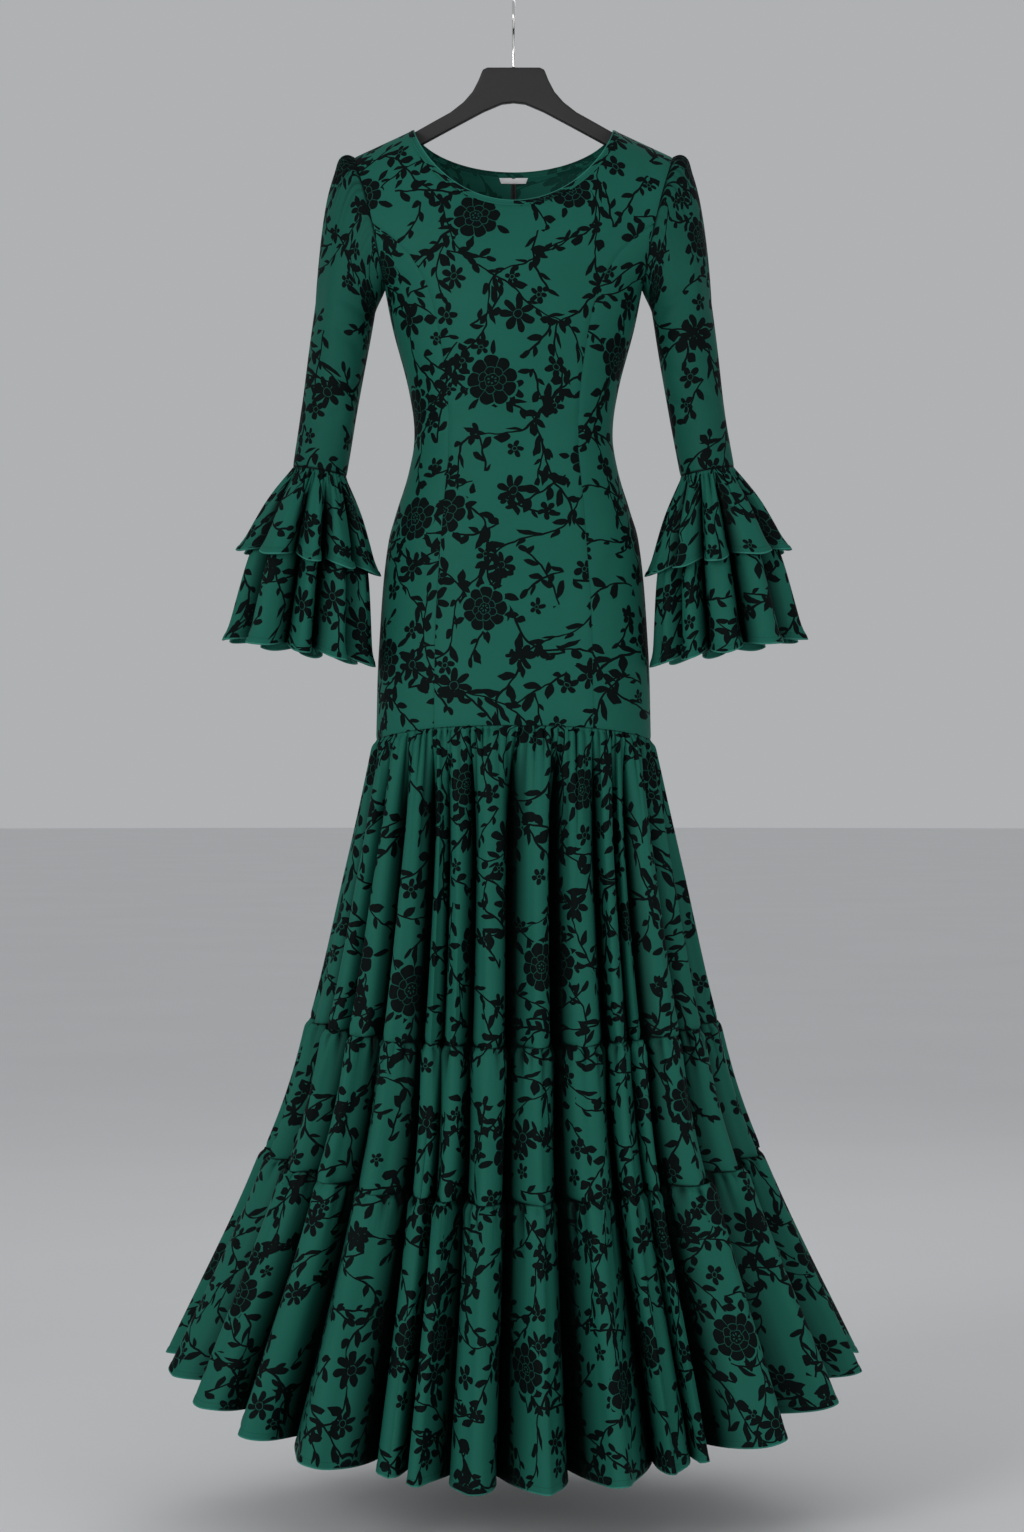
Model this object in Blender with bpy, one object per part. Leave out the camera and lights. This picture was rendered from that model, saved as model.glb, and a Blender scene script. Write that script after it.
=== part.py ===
"""A long flamenco dress hanging on a hanger by its hook.

Every cloth piece is a thin wall lofted through rings or columns. The rings come
from the tables below: one row for a section of the garment or for a fold.
Metres, +Z up, the front faces -Y. The origin is the inside of the hook's crown.
"""
from collections import namedtuple
from math import asin, cos, exp, pi, radians, sin

import bmesh
import bpy
from mathutils import Vector

WALL = 0.0012
SEAM_GAP = 0.0003
OVAL = 2.4

NECK_POINT_X = 0.109
NECK_POINT_Z = -0.139
SHOULDER_SLOPE = 0.456
UNDERARM_Z = -0.315
FRONT_NECK_Z = -0.229
BACK_NECK_Z = -0.1745
BAND_WIDTH = 0.006
NECK_ROUND = 1.35
NECK_TURNS = [radians(turn) for turn in (0, 18, 36, 54, 70, 83, 90)]
SHOULDER_SHARES = (0.5, 1.0)
SHOULDER_ROUNDING = 0.08
CHEST_SPREAD = 0.7

HIP_SIDE_Z = -0.811
HIP_CENTRE_Z = -0.795

# The bodice, from the shoulders down to the hips: half its width, and how far
# its middle stands in front of and behind the side seams. Above the underarm
# the half width is where the armhole seam runs.
Section = namedtuple("Section", "z half_width front back")
BODICE = [
    Section(-0.130, 0.1880, 0.054, 0.050),
    Section(-0.170, 0.1770, 0.062, 0.060),
    Section(-0.216, 0.1630, 0.074, 0.068),
    Section(-0.260, 0.1520, 0.088, 0.076),
    Section(-0.315, 0.1415, 0.098, 0.080),
    Section(-0.360, 0.1325, 0.096, 0.077),
    Section(-0.425, 0.1155, 0.082, 0.070),
    Section(-0.475, 0.1090, 0.074, 0.066),
    Section(-0.520, 0.1160, 0.076, 0.072),
    Section(-0.590, 0.1370, 0.086, 0.088),
    Section(-0.711, 0.1480, 0.094, 0.100),
    Section(-0.811, 0.1510, 0.096, 0.100),
]

# Where each princess seam runs, from the armhole over the bust to the hip seam.
Seam = namedtuple("Seam", "z x")
PRINCESS = [
    Seam(-0.252, 0.1510),
    Seam(-0.268, 0.1310),
    Seam(-0.290, 0.1110),
    Seam(-0.330, 0.0900),
    Seam(-0.400, 0.0760),
    Seam(-0.475, 0.0700),
    Seam(-0.560, 0.0760),
    Seam(-0.680, 0.0840),
    Seam(-0.811, 0.0860),
]
PRINCESS_TOP_Z = PRINCESS[0].z
ABOVE_PRINCESS = (0.0, 0.05, 0.3, 0.65)
BELOW_PRINCESS = (-0.252, -0.280, -0.315, -0.360, -0.420, -0.475, -0.530, -0.600, -0.700)
SIDE_COLUMNS = (0.0, 0.25, 0.5, 0.75, 1.0)

# The skirt's rings: heights at the side and at the middle, half width, how far
# it stands in front and behind, the depth of its folds and how square its oval is.
Ring = namedtuple("Ring", "side_z centre_z half_width front back fold oval")
SKIRT = [
    Ring(-0.811, -0.795, 0.151, 0.096, 0.100, 0.000, 2.40),
    Ring(-0.862, -0.852, 0.165, 0.108, 0.114, 0.008, 2.30),
    Ring(-0.953, -0.952, 0.186, 0.132, 0.142, 0.016, 2.15),
    Ring(-1.115, -1.133, 0.223, 0.170, 0.184, 0.027, 2.05),
    Ring(-1.257, -1.291, 0.271, 0.213, 0.230, 0.038, 2.00),
    Ring(-1.481, -1.576, 0.382, 0.272, 0.292, 0.056, 2.00),
]
DIP_POWER = 1.4
TIERS = [("skirt_tier_1", 0.0, 3.0, 3), ("skirt_tier_2", 3.0, 4.0, 2), ("skirt_tier_3", 4.0, 5.0, 2)]

# Hollows between the skirt's folds, once round from the right side of the back:
# where each runs at the hip and at the hem (degrees from the middle of the
# front), its depth, and how far the fold that follows it stands out.
Hollow = namedtuple("Hollow", "hip hem depth rise")
SKIRT_FOLDS = [
    Hollow(-87, -86, 0.70, 0.00),
    Hollow(-72, -70, 0.95, 0.00),
    Hollow(-58, -55, 0.90, 0.00),
    Hollow(-44, -41, 0.80, 0.10),
    Hollow(-31, -24, 1.00, -0.40),
    Hollow(-24, -18, 0.85, -0.10),
    Hollow(-15, -13, 0.95, 0.12),
    Hollow(1, 0, 1.10, 0.08),
    Hollow(15, 11, 1.20, 0.05),
    Hollow(31, 23, 0.90, -0.12),
    Hollow(41, 30, 0.70, -0.35),
    Hollow(49, 36, 0.95, 0.12),
    Hollow(63, 54, 0.90, 0.00),
    Hollow(76, 71, 0.95, 0.00),
    Hollow(90, 87, 0.75, 0.00),
    Hollow(103, 102, 0.90, 0.05),
    Hollow(117, 118, 0.95, -0.10),
    Hollow(129, 131, 0.80, 0.10),
    Hollow(143, 147, 1.00, -0.30),
    Hollow(151, 156, 0.80, 0.05),
    Hollow(163, 168, 0.95, 0.10),
    Hollow(179, 182, 1.10, 0.00),
    Hollow(190, 192, 0.85, 0.10),
    Hollow(205, 206, 0.95, -0.20),
    Hollow(215, 216, 0.80, 0.05),
    Hollow(228, 230, 0.90, 0.10),
    Hollow(243, 245, 0.95, 0.00),
    Hollow(258, 260, 0.85, 0.00),
]
FOLD_STEPS = (0.0, 0.2, 0.5, 0.8)
FOLD_FULLNESS = 0.6

# The sleeve's rings below the armhole, on the right: centre, half width across,
# half depth. The rings are square to the line that the sleeve hangs along.
Cuff = namedtuple("Cuff", "x y z half_width half_depth")
SLEEVE = [
    Cuff(0.1850, 0.000, -0.336, 0.0325, 0.046),
    Cuff(0.1925, -0.006, -0.390, 0.0315, 0.042),
    Cuff(0.2010, -0.014, -0.450, 0.0300, 0.039),
    Cuff(0.2120, -0.022, -0.518, 0.0293, 0.035),
]
SLEEVE_LEAN = 0.175
CAP_TOP_PULL = Vector((0.072, 0.0, 0.034))
CAP_UNDER_PULL = Vector((0.0, 0.0, -0.012))
CAP_TOP_DROP = Vector((0.010, 0.0, -0.210))
CAP_UNDER_DROP = Vector((0.002, 0.0, -0.020))
CAP_STEPS = (0.0, 0.12, 0.3, 0.6, 1.0)
SLEEVE_COLUMNS = 18
ARMHOLE_GAP = 0.0004

# A flounce's rings, on the right side: centre, half sizes and depth of folds.
Flare = namedtuple("Flare", "x y z half_width half_depth fold")
UPPER_FLOUNCE = [
    Flare(0.2120, -0.0220, -0.5180, 0.0293, 0.035, 0.000),
    Flare(0.2172, -0.0266, -0.5580, 0.0524, 0.0526, 0.008),
    Flare(0.2240, -0.0310, -0.6130, 0.0770, 0.066, 0.016),
]
LOWER_FLOUNCE = [
    Flare(0.2122, -0.0220, -0.5195, 0.0255, 0.0312, 0.000),
    Flare(0.2170, -0.0265, -0.5590, 0.0455, 0.0455, 0.008),
    Flare(0.2241, -0.0311, -0.6140, 0.0650, 0.0560, 0.015),
    Flare(0.2350, -0.0380, -0.7110, 0.0815, 0.072, 0.019),
]
Pleat = namedtuple("Pleat", "angle depth rise")
RIGHT_PLEATS = [
    Pleat(5, 1.0, -0.05),
    Pleat(38, 0.9, 0.05),
    Pleat(69, 0.8, 0.00),
    Pleat(102, 0.9, 0.08),
    Pleat(147, 1.0, 0.00),
    Pleat(187, 0.9, 0.06),
    Pleat(227, 1.0, 0.00),
    Pleat(263, 0.8, 0.00),
    Pleat(298, 0.9, 0.02),
    Pleat(332, 1.0, 0.07),
]
LEFT_PLEATS = [
    Pleat(-66, 0.8, 0.05),
    Pleat(-30, 1.0, 0.00),
    Pleat(4, 0.9, 0.00),
    Pleat(36, 1.0, 0.06),
    Pleat(70, 0.9, -0.05),
    Pleat(98, 0.8, 0.08),
    Pleat(144, 1.0, 0.00),
    Pleat(188, 0.8, 0.05),
    Pleat(226, 1.0, 0.00),
    Pleat(262, 0.9, 0.04),
]
PLEAT_STEPS = (0.0, 0.3, 0.7)

LABEL_TOP_HALF = 0.0162
LABEL_FOOT_HALF = 0.0137
LABEL_TOP_Z = BACK_NECK_Z - BAND_WIDTH - 0.0008
LABEL_FOOT_Z = LABEL_TOP_Z - 0.0080
ZIP_HALF = 0.003
ZIP_TOP_Z = LABEL_FOOT_Z - SEAM_GAP
ZIP_FOOT_Z = -0.690

# Half of the hanger's outline from the middle to the tip of an arm.
Edge = namedtuple("Edge", "x z")
HANGER_THICK = 0.010
HANGER_ROUNDING = 0.003
HANGER_DROP = 0.0034
HANGER_TOP = [
    Edge(0.0000, -0.0710),
    Edge(0.0290, -0.0710),
    Edge(0.0340, -0.0735),
    Edge(0.0385, -0.0850),
    Edge(0.0450, -0.0975),
    Edge(0.0550, -0.1090),
    Edge(0.0690, -0.1200),
    Edge(0.0870, -0.1300),
    Edge(0.1090, NECK_POINT_Z - HANGER_DROP),
]
HANGER_UNDER = [
    Edge(0.1000, -0.1555),
    Edge(0.0630, -0.1355),
    Edge(0.0330, -0.1195),
    Edge(0.0130, -0.1110),
    Edge(0.0000, -0.1095),
]
HANGER_TIP_X = 0.172
HANGER_TIP_DEPTH = 0.016

WIRE = 0.0035
HOOK_INSIDE = 0.017
HOOK_TIP = radians(-105)
HOOK_NECK = radians(140)
SHANK = [(-0.0062, -0.0372), (-0.0022, -0.0425), (-0.0004, -0.0480), (0.0, -0.0545), (0.0, -0.0704)]

GREEN = (0.010, 0.085, 0.062)
DARK = (0.006, 0.007, 0.008)
CHARCOAL = (0.028, 0.027, 0.028)
WHITE = (0.780, 0.770, 0.790)
STEEL = (0.720, 0.715, 0.710)

for leftover in list(bpy.data.objects):
    bpy.data.objects.remove(leftover)
DRESS = bpy.data.collections.new("flamenco_dress")
bpy.context.scene.collection.children.link(DRESS)


Numbered = namedtuple("Numbered", "z value")


def smooth(rows, column, at):
    """Reads a column at a height between rows, on one smooth curve."""
    places = [row.z for row in rows]
    values = [getattr(row, column) for row in rows]
    last = len(rows) - 1
    falling = places[-1] < places[0]
    i = 0
    while i < last - 1 and (at < places[i + 1] if falling else at > places[i + 1]):
        i += 1
    span = places[i + 1] - places[i]
    t = min(1.0, max(0.0, (at - places[i]) / span))

    def slope(k):
        low = max(k - 1, 0)
        high = min(k + 1, last)
        return (values[high] - values[low]) / (places[high] - places[low]) * span

    return (
        values[i] * (1 + 2 * t) * (1 - t) ** 2
        + slope(i) * t * (1 - t) ** 2
        + values[i + 1] * t * t * (3 - 2 * t)
        + slope(i + 1) * t * t * (t - 1)
    )


def between(rows, column, at):
    """Reads a column at a fractional row number, smoothly."""
    numbered = [Numbered(i, getattr(row, column)) for i, row in enumerate(rows)]
    return smooth(numbered, "value", at)


def signed_power(value, power):
    """A power that keeps the sign, for ovals."""
    return abs(value) ** power * (1 if value >= 0 else -1)


# The form of the bodice ------------------------------------------------------


def shoulder_z(x):
    """Height of the shoulder seam's line above a place, rounded between the neck points."""
    out = abs(x)
    if out < NECK_POINT_X:
        out = out**2 / (2 * NECK_POINT_X) + NECK_POINT_X / 2
    return NECK_POINT_Z - SHOULDER_SLOPE * (out - NECK_POINT_X)


def fall(below_shoulder):
    """Cloth rounds over the shoulder and then hangs: 0 at the seam, nearly 1 low down."""
    return 1 - exp(-((max(below_shoulder, 0.0) / SHOULDER_ROUNDING) ** 0.75))


def stand(x, z, back):
    """How far the bodice stands in front of or behind the side seams."""
    middle = smooth(BODICE, "back" if back else "front", z)
    reach = smooth(BODICE, "half_width", z) + CHEST_SPREAD * max(0.0, z - UNDERARM_Z)
    across = (1 - min(1.0, abs(x) / reach) ** OVAL) ** (1 / OVAL)
    return middle * across * fall(shoulder_z(x) - z) / fall(shoulder_z(0.0) - z)


def on_bodice(x, z, back):
    """The point of the bodice at a place seen from the front."""
    depth = stand(x, z, back)
    return Vector((x, depth if back else -depth, z))


def round_bodice(angle, z, back):
    """The point of the bodice at an angle round it, 0 in the middle of the front."""
    x = smooth(BODICE, "half_width", z) * signed_power(sin(angle), 2 / OVAL)
    return on_bodice(x, z, back)


def out_of_bodice(angle, z, back):
    """The direction square to the bodice, the same for the pieces on both sides of a seam."""
    if z > UNDERARM_Z:
        return out_of_front_or_back(round_bodice(angle, z, back).x, z, back)
    turn = 0.01
    step = 0.002
    ahead = round_bodice(angle + turn, z, cos(angle + turn) < 0)
    behind = round_bodice(angle - turn, z, cos(angle - turn) < 0)
    above = round_bodice(angle, min(z + step, UNDERARM_Z), back)
    below = round_bodice(angle, z - step, back)
    return (below - above).cross(ahead - behind).normalized()


def out_of_front_or_back(x, z, back):
    """The direction square to the front or back as a surface over the upright plane."""
    step = 0.0004
    sideways = (stand(x + step, z, back) - stand(x - step, z, back)) / (2 * step)
    upward = (stand(x, z + step, back) - stand(x, z - step, back)) / (2 * step)
    away = min(1.0, max(0.0, shoulder_z(x) - z) / 0.004)
    return Vector((-sideways, away if back else -away, -upward)).normalized()


def neck_place(turn, offset):
    """A place on the neck edge, offset outwards: turn 0 front, quarter at the right shoulder."""
    half = NECK_POINT_X + offset
    top = shoulder_z(half)
    low = (FRONT_NECK_Z if cos(turn) > 0 else BACK_NECK_Z) - offset
    return half * sin(turn), top - (top - low) * abs(cos(turn)) ** NECK_ROUND


def shoulder_column_z(angle):
    """Height at which a column of the bodice meets the shoulder seam, found by halving."""
    low = UNDERARM_Z
    high = NECK_POINT_Z
    for _ in range(40):
        z = (low + high) / 2
        if z > shoulder_z(smooth(BODICE, "half_width", z) * sin(angle) ** (2 / OVAL)):
            high = z
        else:
            low = z
    return low


Column = namedtuple("Column", "top_share share top_z")


def upper_columns(back):
    """Columns of half the front or back: their share of a quarter turn, above and below."""
    tops = []
    for turn in NECK_TURNS:
        x, z = neck_place(pi - turn if back else turn, BAND_WIDTH)
        angle = asin((x / smooth(BODICE, "half_width", z)) ** (OVAL / 2))
        tops.append((angle / (pi / 2), z))
    corner = tops[-1][0]
    for part in SHOULDER_SHARES:
        share = corner + (1 - corner) * part
        tops.append((share, shoulder_column_z(share * pi / 2)))
    last = len(tops) - 1
    return [Column(share, i / last, z) for i, (share, z) in enumerate(tops)]


def hip_z(angle):
    """The hip seam is a little higher in the middle than at the sides."""
    return HIP_SIDE_Z + (HIP_CENTRE_Z - HIP_SIDE_Z) * abs(cos(angle)) ** DIP_POWER


# Making cloth ----------------------------------------------------------------


def finish(name, colour, roughness, metallic):
    """A plain material for one sub-part."""
    material = bpy.data.materials.new(name)
    material.use_nodes = True
    shader = material.node_tree.nodes["Principled BSDF"]
    shader.inputs["Base Color"].default_value = (*colour, 1.0)
    shader.inputs["Roughness"].default_value = roughness
    shader.inputs["Metallic"].default_value = metallic
    return material


def keep(name, mesh, material):
    """Puts a finished mesh in the dress's collection under its own name."""
    thing = bpy.data.objects.new(name, mesh)
    DRESS.objects.link(thing)
    mesh.materials.append(material)
    mesh.shade_smooth()
    mesh.set_sharp_from_angle(angle=radians(40))
    return thing


def pull_in(grid, around):
    """Trims half a seam's gap off the edges of a piece, along its own cloth."""
    half = SEAM_GAP / 2
    grid[0] = [a + (b - a).normalized() * half for a, b in zip(grid[0], grid[1])]
    grid[-1] = [a + (b - a).normalized() * half for a, b in zip(grid[-1], grid[-2])]
    if not around:
        for row in grid:
            row[0] = row[0] + (row[1] - row[0]).normalized() * half
            row[-1] = row[-1] + (row[-2] - row[-1]).normalized() * half


def cloth(name, grid, inward, material, around=False, thick=WALL):
    """A wall of cloth from rows of points and the inward direction at each.

    Both of its faces are lofted here and not by Solidify, because two pieces
    that meet at a seam have to share one inward direction there."""
    grid = [list(row) for row in grid]
    pull_in(grid, around)
    mesh = bpy.data.meshes.new(name)
    shell = bmesh.new()
    outer = [[shell.verts.new(p) for p in row] for row in grid]
    inner = [
        [shell.verts.new(p + d * thick) for p, d in zip(row, ways)]
        for row, ways in zip(grid, inward)
    ]
    count = len(grid[0])
    spans = count if around else count - 1
    for k in range(len(grid) - 1):
        for i in range(spans):
            j = (i + 1) % count
            shell.faces.new((outer[k][i], outer[k][j], outer[k + 1][j], outer[k + 1][i]))
            shell.faces.new((inner[k][j], inner[k][i], inner[k + 1][i], inner[k + 1][j]))
    for k, flip in ((0, False), (len(grid) - 1, True)):
        for i in range(spans):
            j = (i + 1) % count
            rim = (outer[k][j], outer[k][i], inner[k][i], inner[k][j])
            shell.faces.new(rim[::-1] if flip else rim)
    if not around:
        for i, flip in ((0, False), (count - 1, True)):
            for k in range(len(grid) - 1):
                rim = (outer[k][i], outer[k + 1][i], inner[k + 1][i], inner[k][i])
                shell.faces.new(rim[::-1] if flip else rim)
    bmesh.ops.recalc_face_normals(shell, faces=shell.faces)
    shell.to_mesh(mesh)
    shell.free()
    return keep(name, mesh, material)


def inward_of(grid):
    """The inward direction at each point of a tube of rings that runs downwards.

    It halves the angle between the cloth on both sides, and is longer in a sharp fold."""
    ways = []
    count = len(grid[0])
    for k, row in enumerate(grid):
        above = grid[max(k - 1, 0)]
        below = grid[min(k + 1, len(grid) - 1)]
        line = []
        for i in range(count):
            onward = (row[(i + 1) % count] - row[i]).normalized() + (row[i] - row[i - 1]).normalized()
            mitre = 1 / max(0.6, onward.length / 2)
            line.append(onward.cross(below[i] - above[i]).normalized() * mitre)
        ways.append(line)
    return ways


def mirrored(grid):
    """The same rows of vectors on the other side."""
    return [[Vector((-v.x, v.y, v.z)) for v in row] for row in grid]


# Bodice ----------------------------------------------------------------------


def princess_angle(z):
    """The angle round the bodice at which the princess seam runs."""
    if z > PRINCESS_TOP_Z:
        return pi / 2
    return asin((smooth(PRINCESS, "x", z) / smooth(BODICE, "half_width", z)) ** (OVAL / 2))


def panel(name, columns, angle_at, material, back=False):
    """A bodice panel through its columns; angle_at gives the angle of a share at a height."""
    grid = []
    rises = ABOVE_PRINCESS if columns[0].top_z > PRINCESS_TOP_Z else ()
    for part in rises:
        row = []
        for column in columns:
            share = column.top_share + (column.share - column.top_share) * part
            row.append((share, column.top_z + (PRINCESS_TOP_Z - column.top_z) * part))
        grid.append(row)
    for z in BELOW_PRINCESS:
        grid.append([(column.share, z) for column in columns])
    grid.append([(column.share, hip_z(angle_at(column.share, HIP_SIDE_Z))) for column in columns])
    points = [[round_bodice(angle_at(share, z), z, back) for share, z in row] for row in grid]
    ways = [[-out_of_bodice(angle_at(share, z), z, back) for share, z in row] for row in grid]
    cloth(name, points, ways, material)
    return points


def make_bodice(green):
    """Centre front, two side fronts and two backs; returns the centre back's points."""
    half = upper_columns(False)
    front = [Column(-top_share, -share, z) for top_share, share, z in half[:0:-1]] + half
    panel(
        "bodice_front",
        front,
        lambda share, z: share * (pi / 2 if z > PRINCESS_TOP_Z else princess_angle(z)),
        green,
    )
    side = [Column(share, share, PRINCESS_TOP_Z) for share in SIDE_COLUMNS]

    def side_angle(share, z):
        return princess_angle(z) + (pi / 2 - princess_angle(z)) * share

    panel("bodice_side_right", side, side_angle, green)
    panel("bodice_side_left", side, lambda share, z: -side_angle(share, z), green)
    back = upper_columns(True)
    points = panel("bodice_back_right", back, lambda share, z: pi - share * pi / 2, green, back=True)
    panel("bodice_back_left", back, lambda share, z: pi + share * pi / 2, green, back=True)
    return [row[0] for row in points]


def make_neck_band(green):
    """The turned band round the neck edge, on the same columns as the panels under it."""
    quarter = NECK_TURNS[:-1]
    turns = quarter + [pi - turn for turn in NECK_TURNS[:0:-1]]
    turns += [pi + turn for turn in quarter] + [2 * pi - turn for turn in NECK_TURNS[:0:-1]]
    grid = []
    ways = []
    for offset in (0.0, BAND_WIDTH):
        places = [(neck_place(turn, offset), cos(turn) < 0) for turn in turns]
        grid.append([on_bodice(x, z, back) for (x, z), back in places])
        ways.append([-out_of_front_or_back(x, z, back) for (x, z), back in places])
    cloth("neck_band", grid, ways, green, around=True)


def on_column(points, z):
    """The place at a height on a column of points joined by straight lines."""
    for high, low in zip(points, points[1:]):
        if low.z <= z <= high.z:
            return high.lerp(low, (high.z - z) / (high.z - low.z))
    raise ValueError("the column doesn't reach that height")


def make_label_and_zip(centre_back, white, dark):
    """The label and the zip lie on the inside of the back, on its own points moved in."""
    inside = Vector((0.0, -WALL - 3 * SEAM_GAP, 0.0))
    forward = Vector((0.0, -1.0, 0.0))
    halves = ((LABEL_TOP_Z, LABEL_TOP_HALF), (LABEL_FOOT_Z, LABEL_FOOT_HALF))
    grid = []
    for z, half in halves:
        middle = on_column(centre_back, z) + inside
        grid.append([middle + Vector((half * side, 0.0, 0.0)) for side in (-1, 0, 1)])
    cloth("label", grid, [[forward] * 3] * 2, white, thick=0.0007)
    heights = [ZIP_TOP_Z]
    heights += [p.z for p in centre_back if ZIP_FOOT_Z < p.z < ZIP_TOP_Z]
    heights.append(ZIP_FOOT_Z)
    grid = []
    for z in heights:
        middle = on_column(centre_back, z) + inside
        grid.append([middle + Vector((ZIP_HALF * side, 0.0, 0.0)) for side in (-1, 1)])
    cloth("zip_strip", grid, [[forward] * 2] * len(grid), dark, thick=0.0010)


# Sleeves ---------------------------------------------------------------------


def oval_ring(x, y, z, half_width, half_depth, turn):
    """A point of a ring square to the sleeve's line: turn 0 is next to the body."""
    across = -cos(turn) * half_width
    return Vector((x + across, y - sin(turn) * half_depth, z + across * SLEEVE_LEAN))


def armhole(turn):
    """A point of the right armhole: turn 0 under the arm, a half turn at the shoulder."""
    tip = shoulder_column_z(pi / 2)
    z = UNDERARM_Z + (tip - UNDERARM_Z) * (1 - cos(turn)) / 2
    place = on_bodice(smooth(BODICE, "half_width", z), z, sin(turn) < 0)
    return place + Vector((ARMHOLE_GAP, 0.0, 0.0))


def sleeve_cap(turn, step):
    """The sleeve's head: leaves the armhole outwards and falls into the first ring."""
    top = (1 - cos(turn)) / 2
    start = armhole(turn)
    first = SLEEVE[0]
    end = oval_ring(first.x, first.y, first.z, first.half_width, first.half_depth, turn)
    leave = CAP_UNDER_PULL.lerp(CAP_TOP_PULL, top)
    arrive = CAP_UNDER_DROP.lerp(CAP_TOP_DROP, top)
    t = step
    return (
        start * (1 + 2 * t) * (1 - t) ** 2
        + leave * t * (1 - t) ** 2
        + end * t * t * (3 - 2 * t)
        + arrive * t * t * (t - 1)
    )


def make_sleeves(green):
    """Both set-in sleeves, one the mirror of the other."""
    turns = [2 * pi * i / SLEEVE_COLUMNS for i in range(SLEEVE_COLUMNS)]
    grid = [[sleeve_cap(turn, step) for turn in turns] for step in CAP_STEPS]
    for cuff in SLEEVE[1:]:
        grid.append([oval_ring(*cuff, turn) for turn in turns])
    ways = inward_of(grid)
    cloth("sleeve_right", grid, ways, green, around=True)
    cloth("sleeve_left", mirrored(grid), mirrored(ways), green, around=True)


# Folds -----------------------------------------------------------------------


def fold_offset(share, here, after):
    """How far a fold stands in (below 0) or out, between one hollow and the next."""
    crown = sin(pi * share) ** FOLD_FULLNESS
    hollow = here.depth + (after.depth - here.depth) * share
    return here.rise * crown - hollow * (1 - crown)


def make_flounces(green):
    """Two flounces on each sleeve, the lower one nested in the upper one's folds."""
    for side, pleats in (("right", RIGHT_PLEATS), ("left", LEFT_PLEATS)):
        for tier, rings in (("upper", UPPER_FLOUNCE), ("lower", LOWER_FLOUNCE)):
            grid = [flounce_ring(ring, pleats) for ring in rings]
            ways = inward_of(grid)
            if side == "left":
                grid = mirrored(grid)
                ways = mirrored(ways)
            cloth(f"flounce_{tier}_{side}", grid, ways, green, around=True)


def flounce_ring(ring, pleats):
    """One ring of a flounce, with its folds."""
    row = []
    for here, after in zip(pleats, pleats[1:] + pleats[:1]):
        width = (after.angle - here.angle) % 360
        for share in PLEAT_STEPS:
            turn = radians(here.angle + width * share)
            more = fold_offset(share, here, after) * ring.fold
            sizes = (ring.half_width + more, ring.half_depth + more)
            row.append(oval_ring(ring.x, ring.y, ring.z, *sizes, turn))
    return row


# Skirt -----------------------------------------------------------------------


def skirt_point(level, here, after, share):
    """A point of the skirt: level counts the rings of the table, share the way across a fold."""
    ring = Ring(*(between(SKIRT, column, level) for column in Ring._fields))
    part = level / (len(SKIRT) - 1)
    start = here.hip + (here.hem - here.hip) * part
    end = after.hip + (after.hem - after.hip) * part
    width = (end - start) % 360
    angle = radians(start + width * share)
    depth = ring.front if cos(angle) > 0 else ring.back
    x = ring.half_width * signed_power(sin(angle), 2 / ring.oval)
    y = -depth * signed_power(cos(angle), 2 / ring.oval)
    z = ring.side_z + (ring.centre_z - ring.side_z) * abs(cos(angle)) ** DIP_POWER
    out = Vector((x / ring.half_width**2, y / depth**2, 0.0)).normalized()
    return Vector((x, y, z)) + out * fold_offset(share, here, after) * ring.fold


def make_skirt(green):
    """Three gathered tiers, each a ring of cloth whose folds run on into the next."""
    pairs = list(zip(SKIRT_FOLDS, SKIRT_FOLDS[1:] + SKIRT_FOLDS[:1]))
    for name, first, last, strips in TIERS:
        levels = [first + (last - first) * k / strips for k in range(strips + 1)]
        grid = []
        for level in levels:
            grid.append([skirt_point(level, *pair, share) for pair in pairs for share in FOLD_STEPS])
        if first == 0.0:
            grid[0] = [p - Vector((0.0, 0.0, SEAM_GAP)) for p in grid[0]]
        cloth(name, grid, inward_of(grid), green, around=True)


# Hanger ----------------------------------------------------------------------


def make_hanger(charcoal):
    """A flat moulded body with rounded edges, drawn as one closed outline."""
    tip_z = shoulder_z(HANGER_TIP_X) - HANGER_DROP
    half = [(edge.x, edge.z) for edge in HANGER_TOP]
    foot_z = tip_z - HANGER_TIP_DEPTH
    half += [(HANGER_TIP_X - 0.003, tip_z + 0.0012), (HANGER_TIP_X, tip_z - 0.003)]
    half += [(HANGER_TIP_X, foot_z + 0.004), (HANGER_TIP_X - 0.004, foot_z)]
    half += [(edge.x, edge.z) for edge in HANGER_UNDER]
    outline = half + [(-x, z) for x, z in half[-2:0:-1]]
    curve = bpy.data.curves.new("hanger", "CURVE")
    curve.dimensions = "2D"
    curve.fill_mode = "BOTH"
    curve.extrude = HANGER_THICK / 2 - HANGER_ROUNDING
    curve.bevel_depth = HANGER_ROUNDING
    curve.bevel_resolution = 1
    curve.offset = -HANGER_ROUNDING
    spline = curve.splines.new("POLY")
    spline.points.add(len(outline) - 1)
    for point, (x, z) in zip(spline.points, outline):
        point.co = (x, z, 0.0, 1.0)
    spline.use_cyclic_u = True
    curve.materials.append(charcoal)
    thing = bpy.data.objects.new("hanger", curve)
    thing.rotation_euler = (radians(90), 0.0, 0.0)
    DRESS.objects.link(thing)


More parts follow.
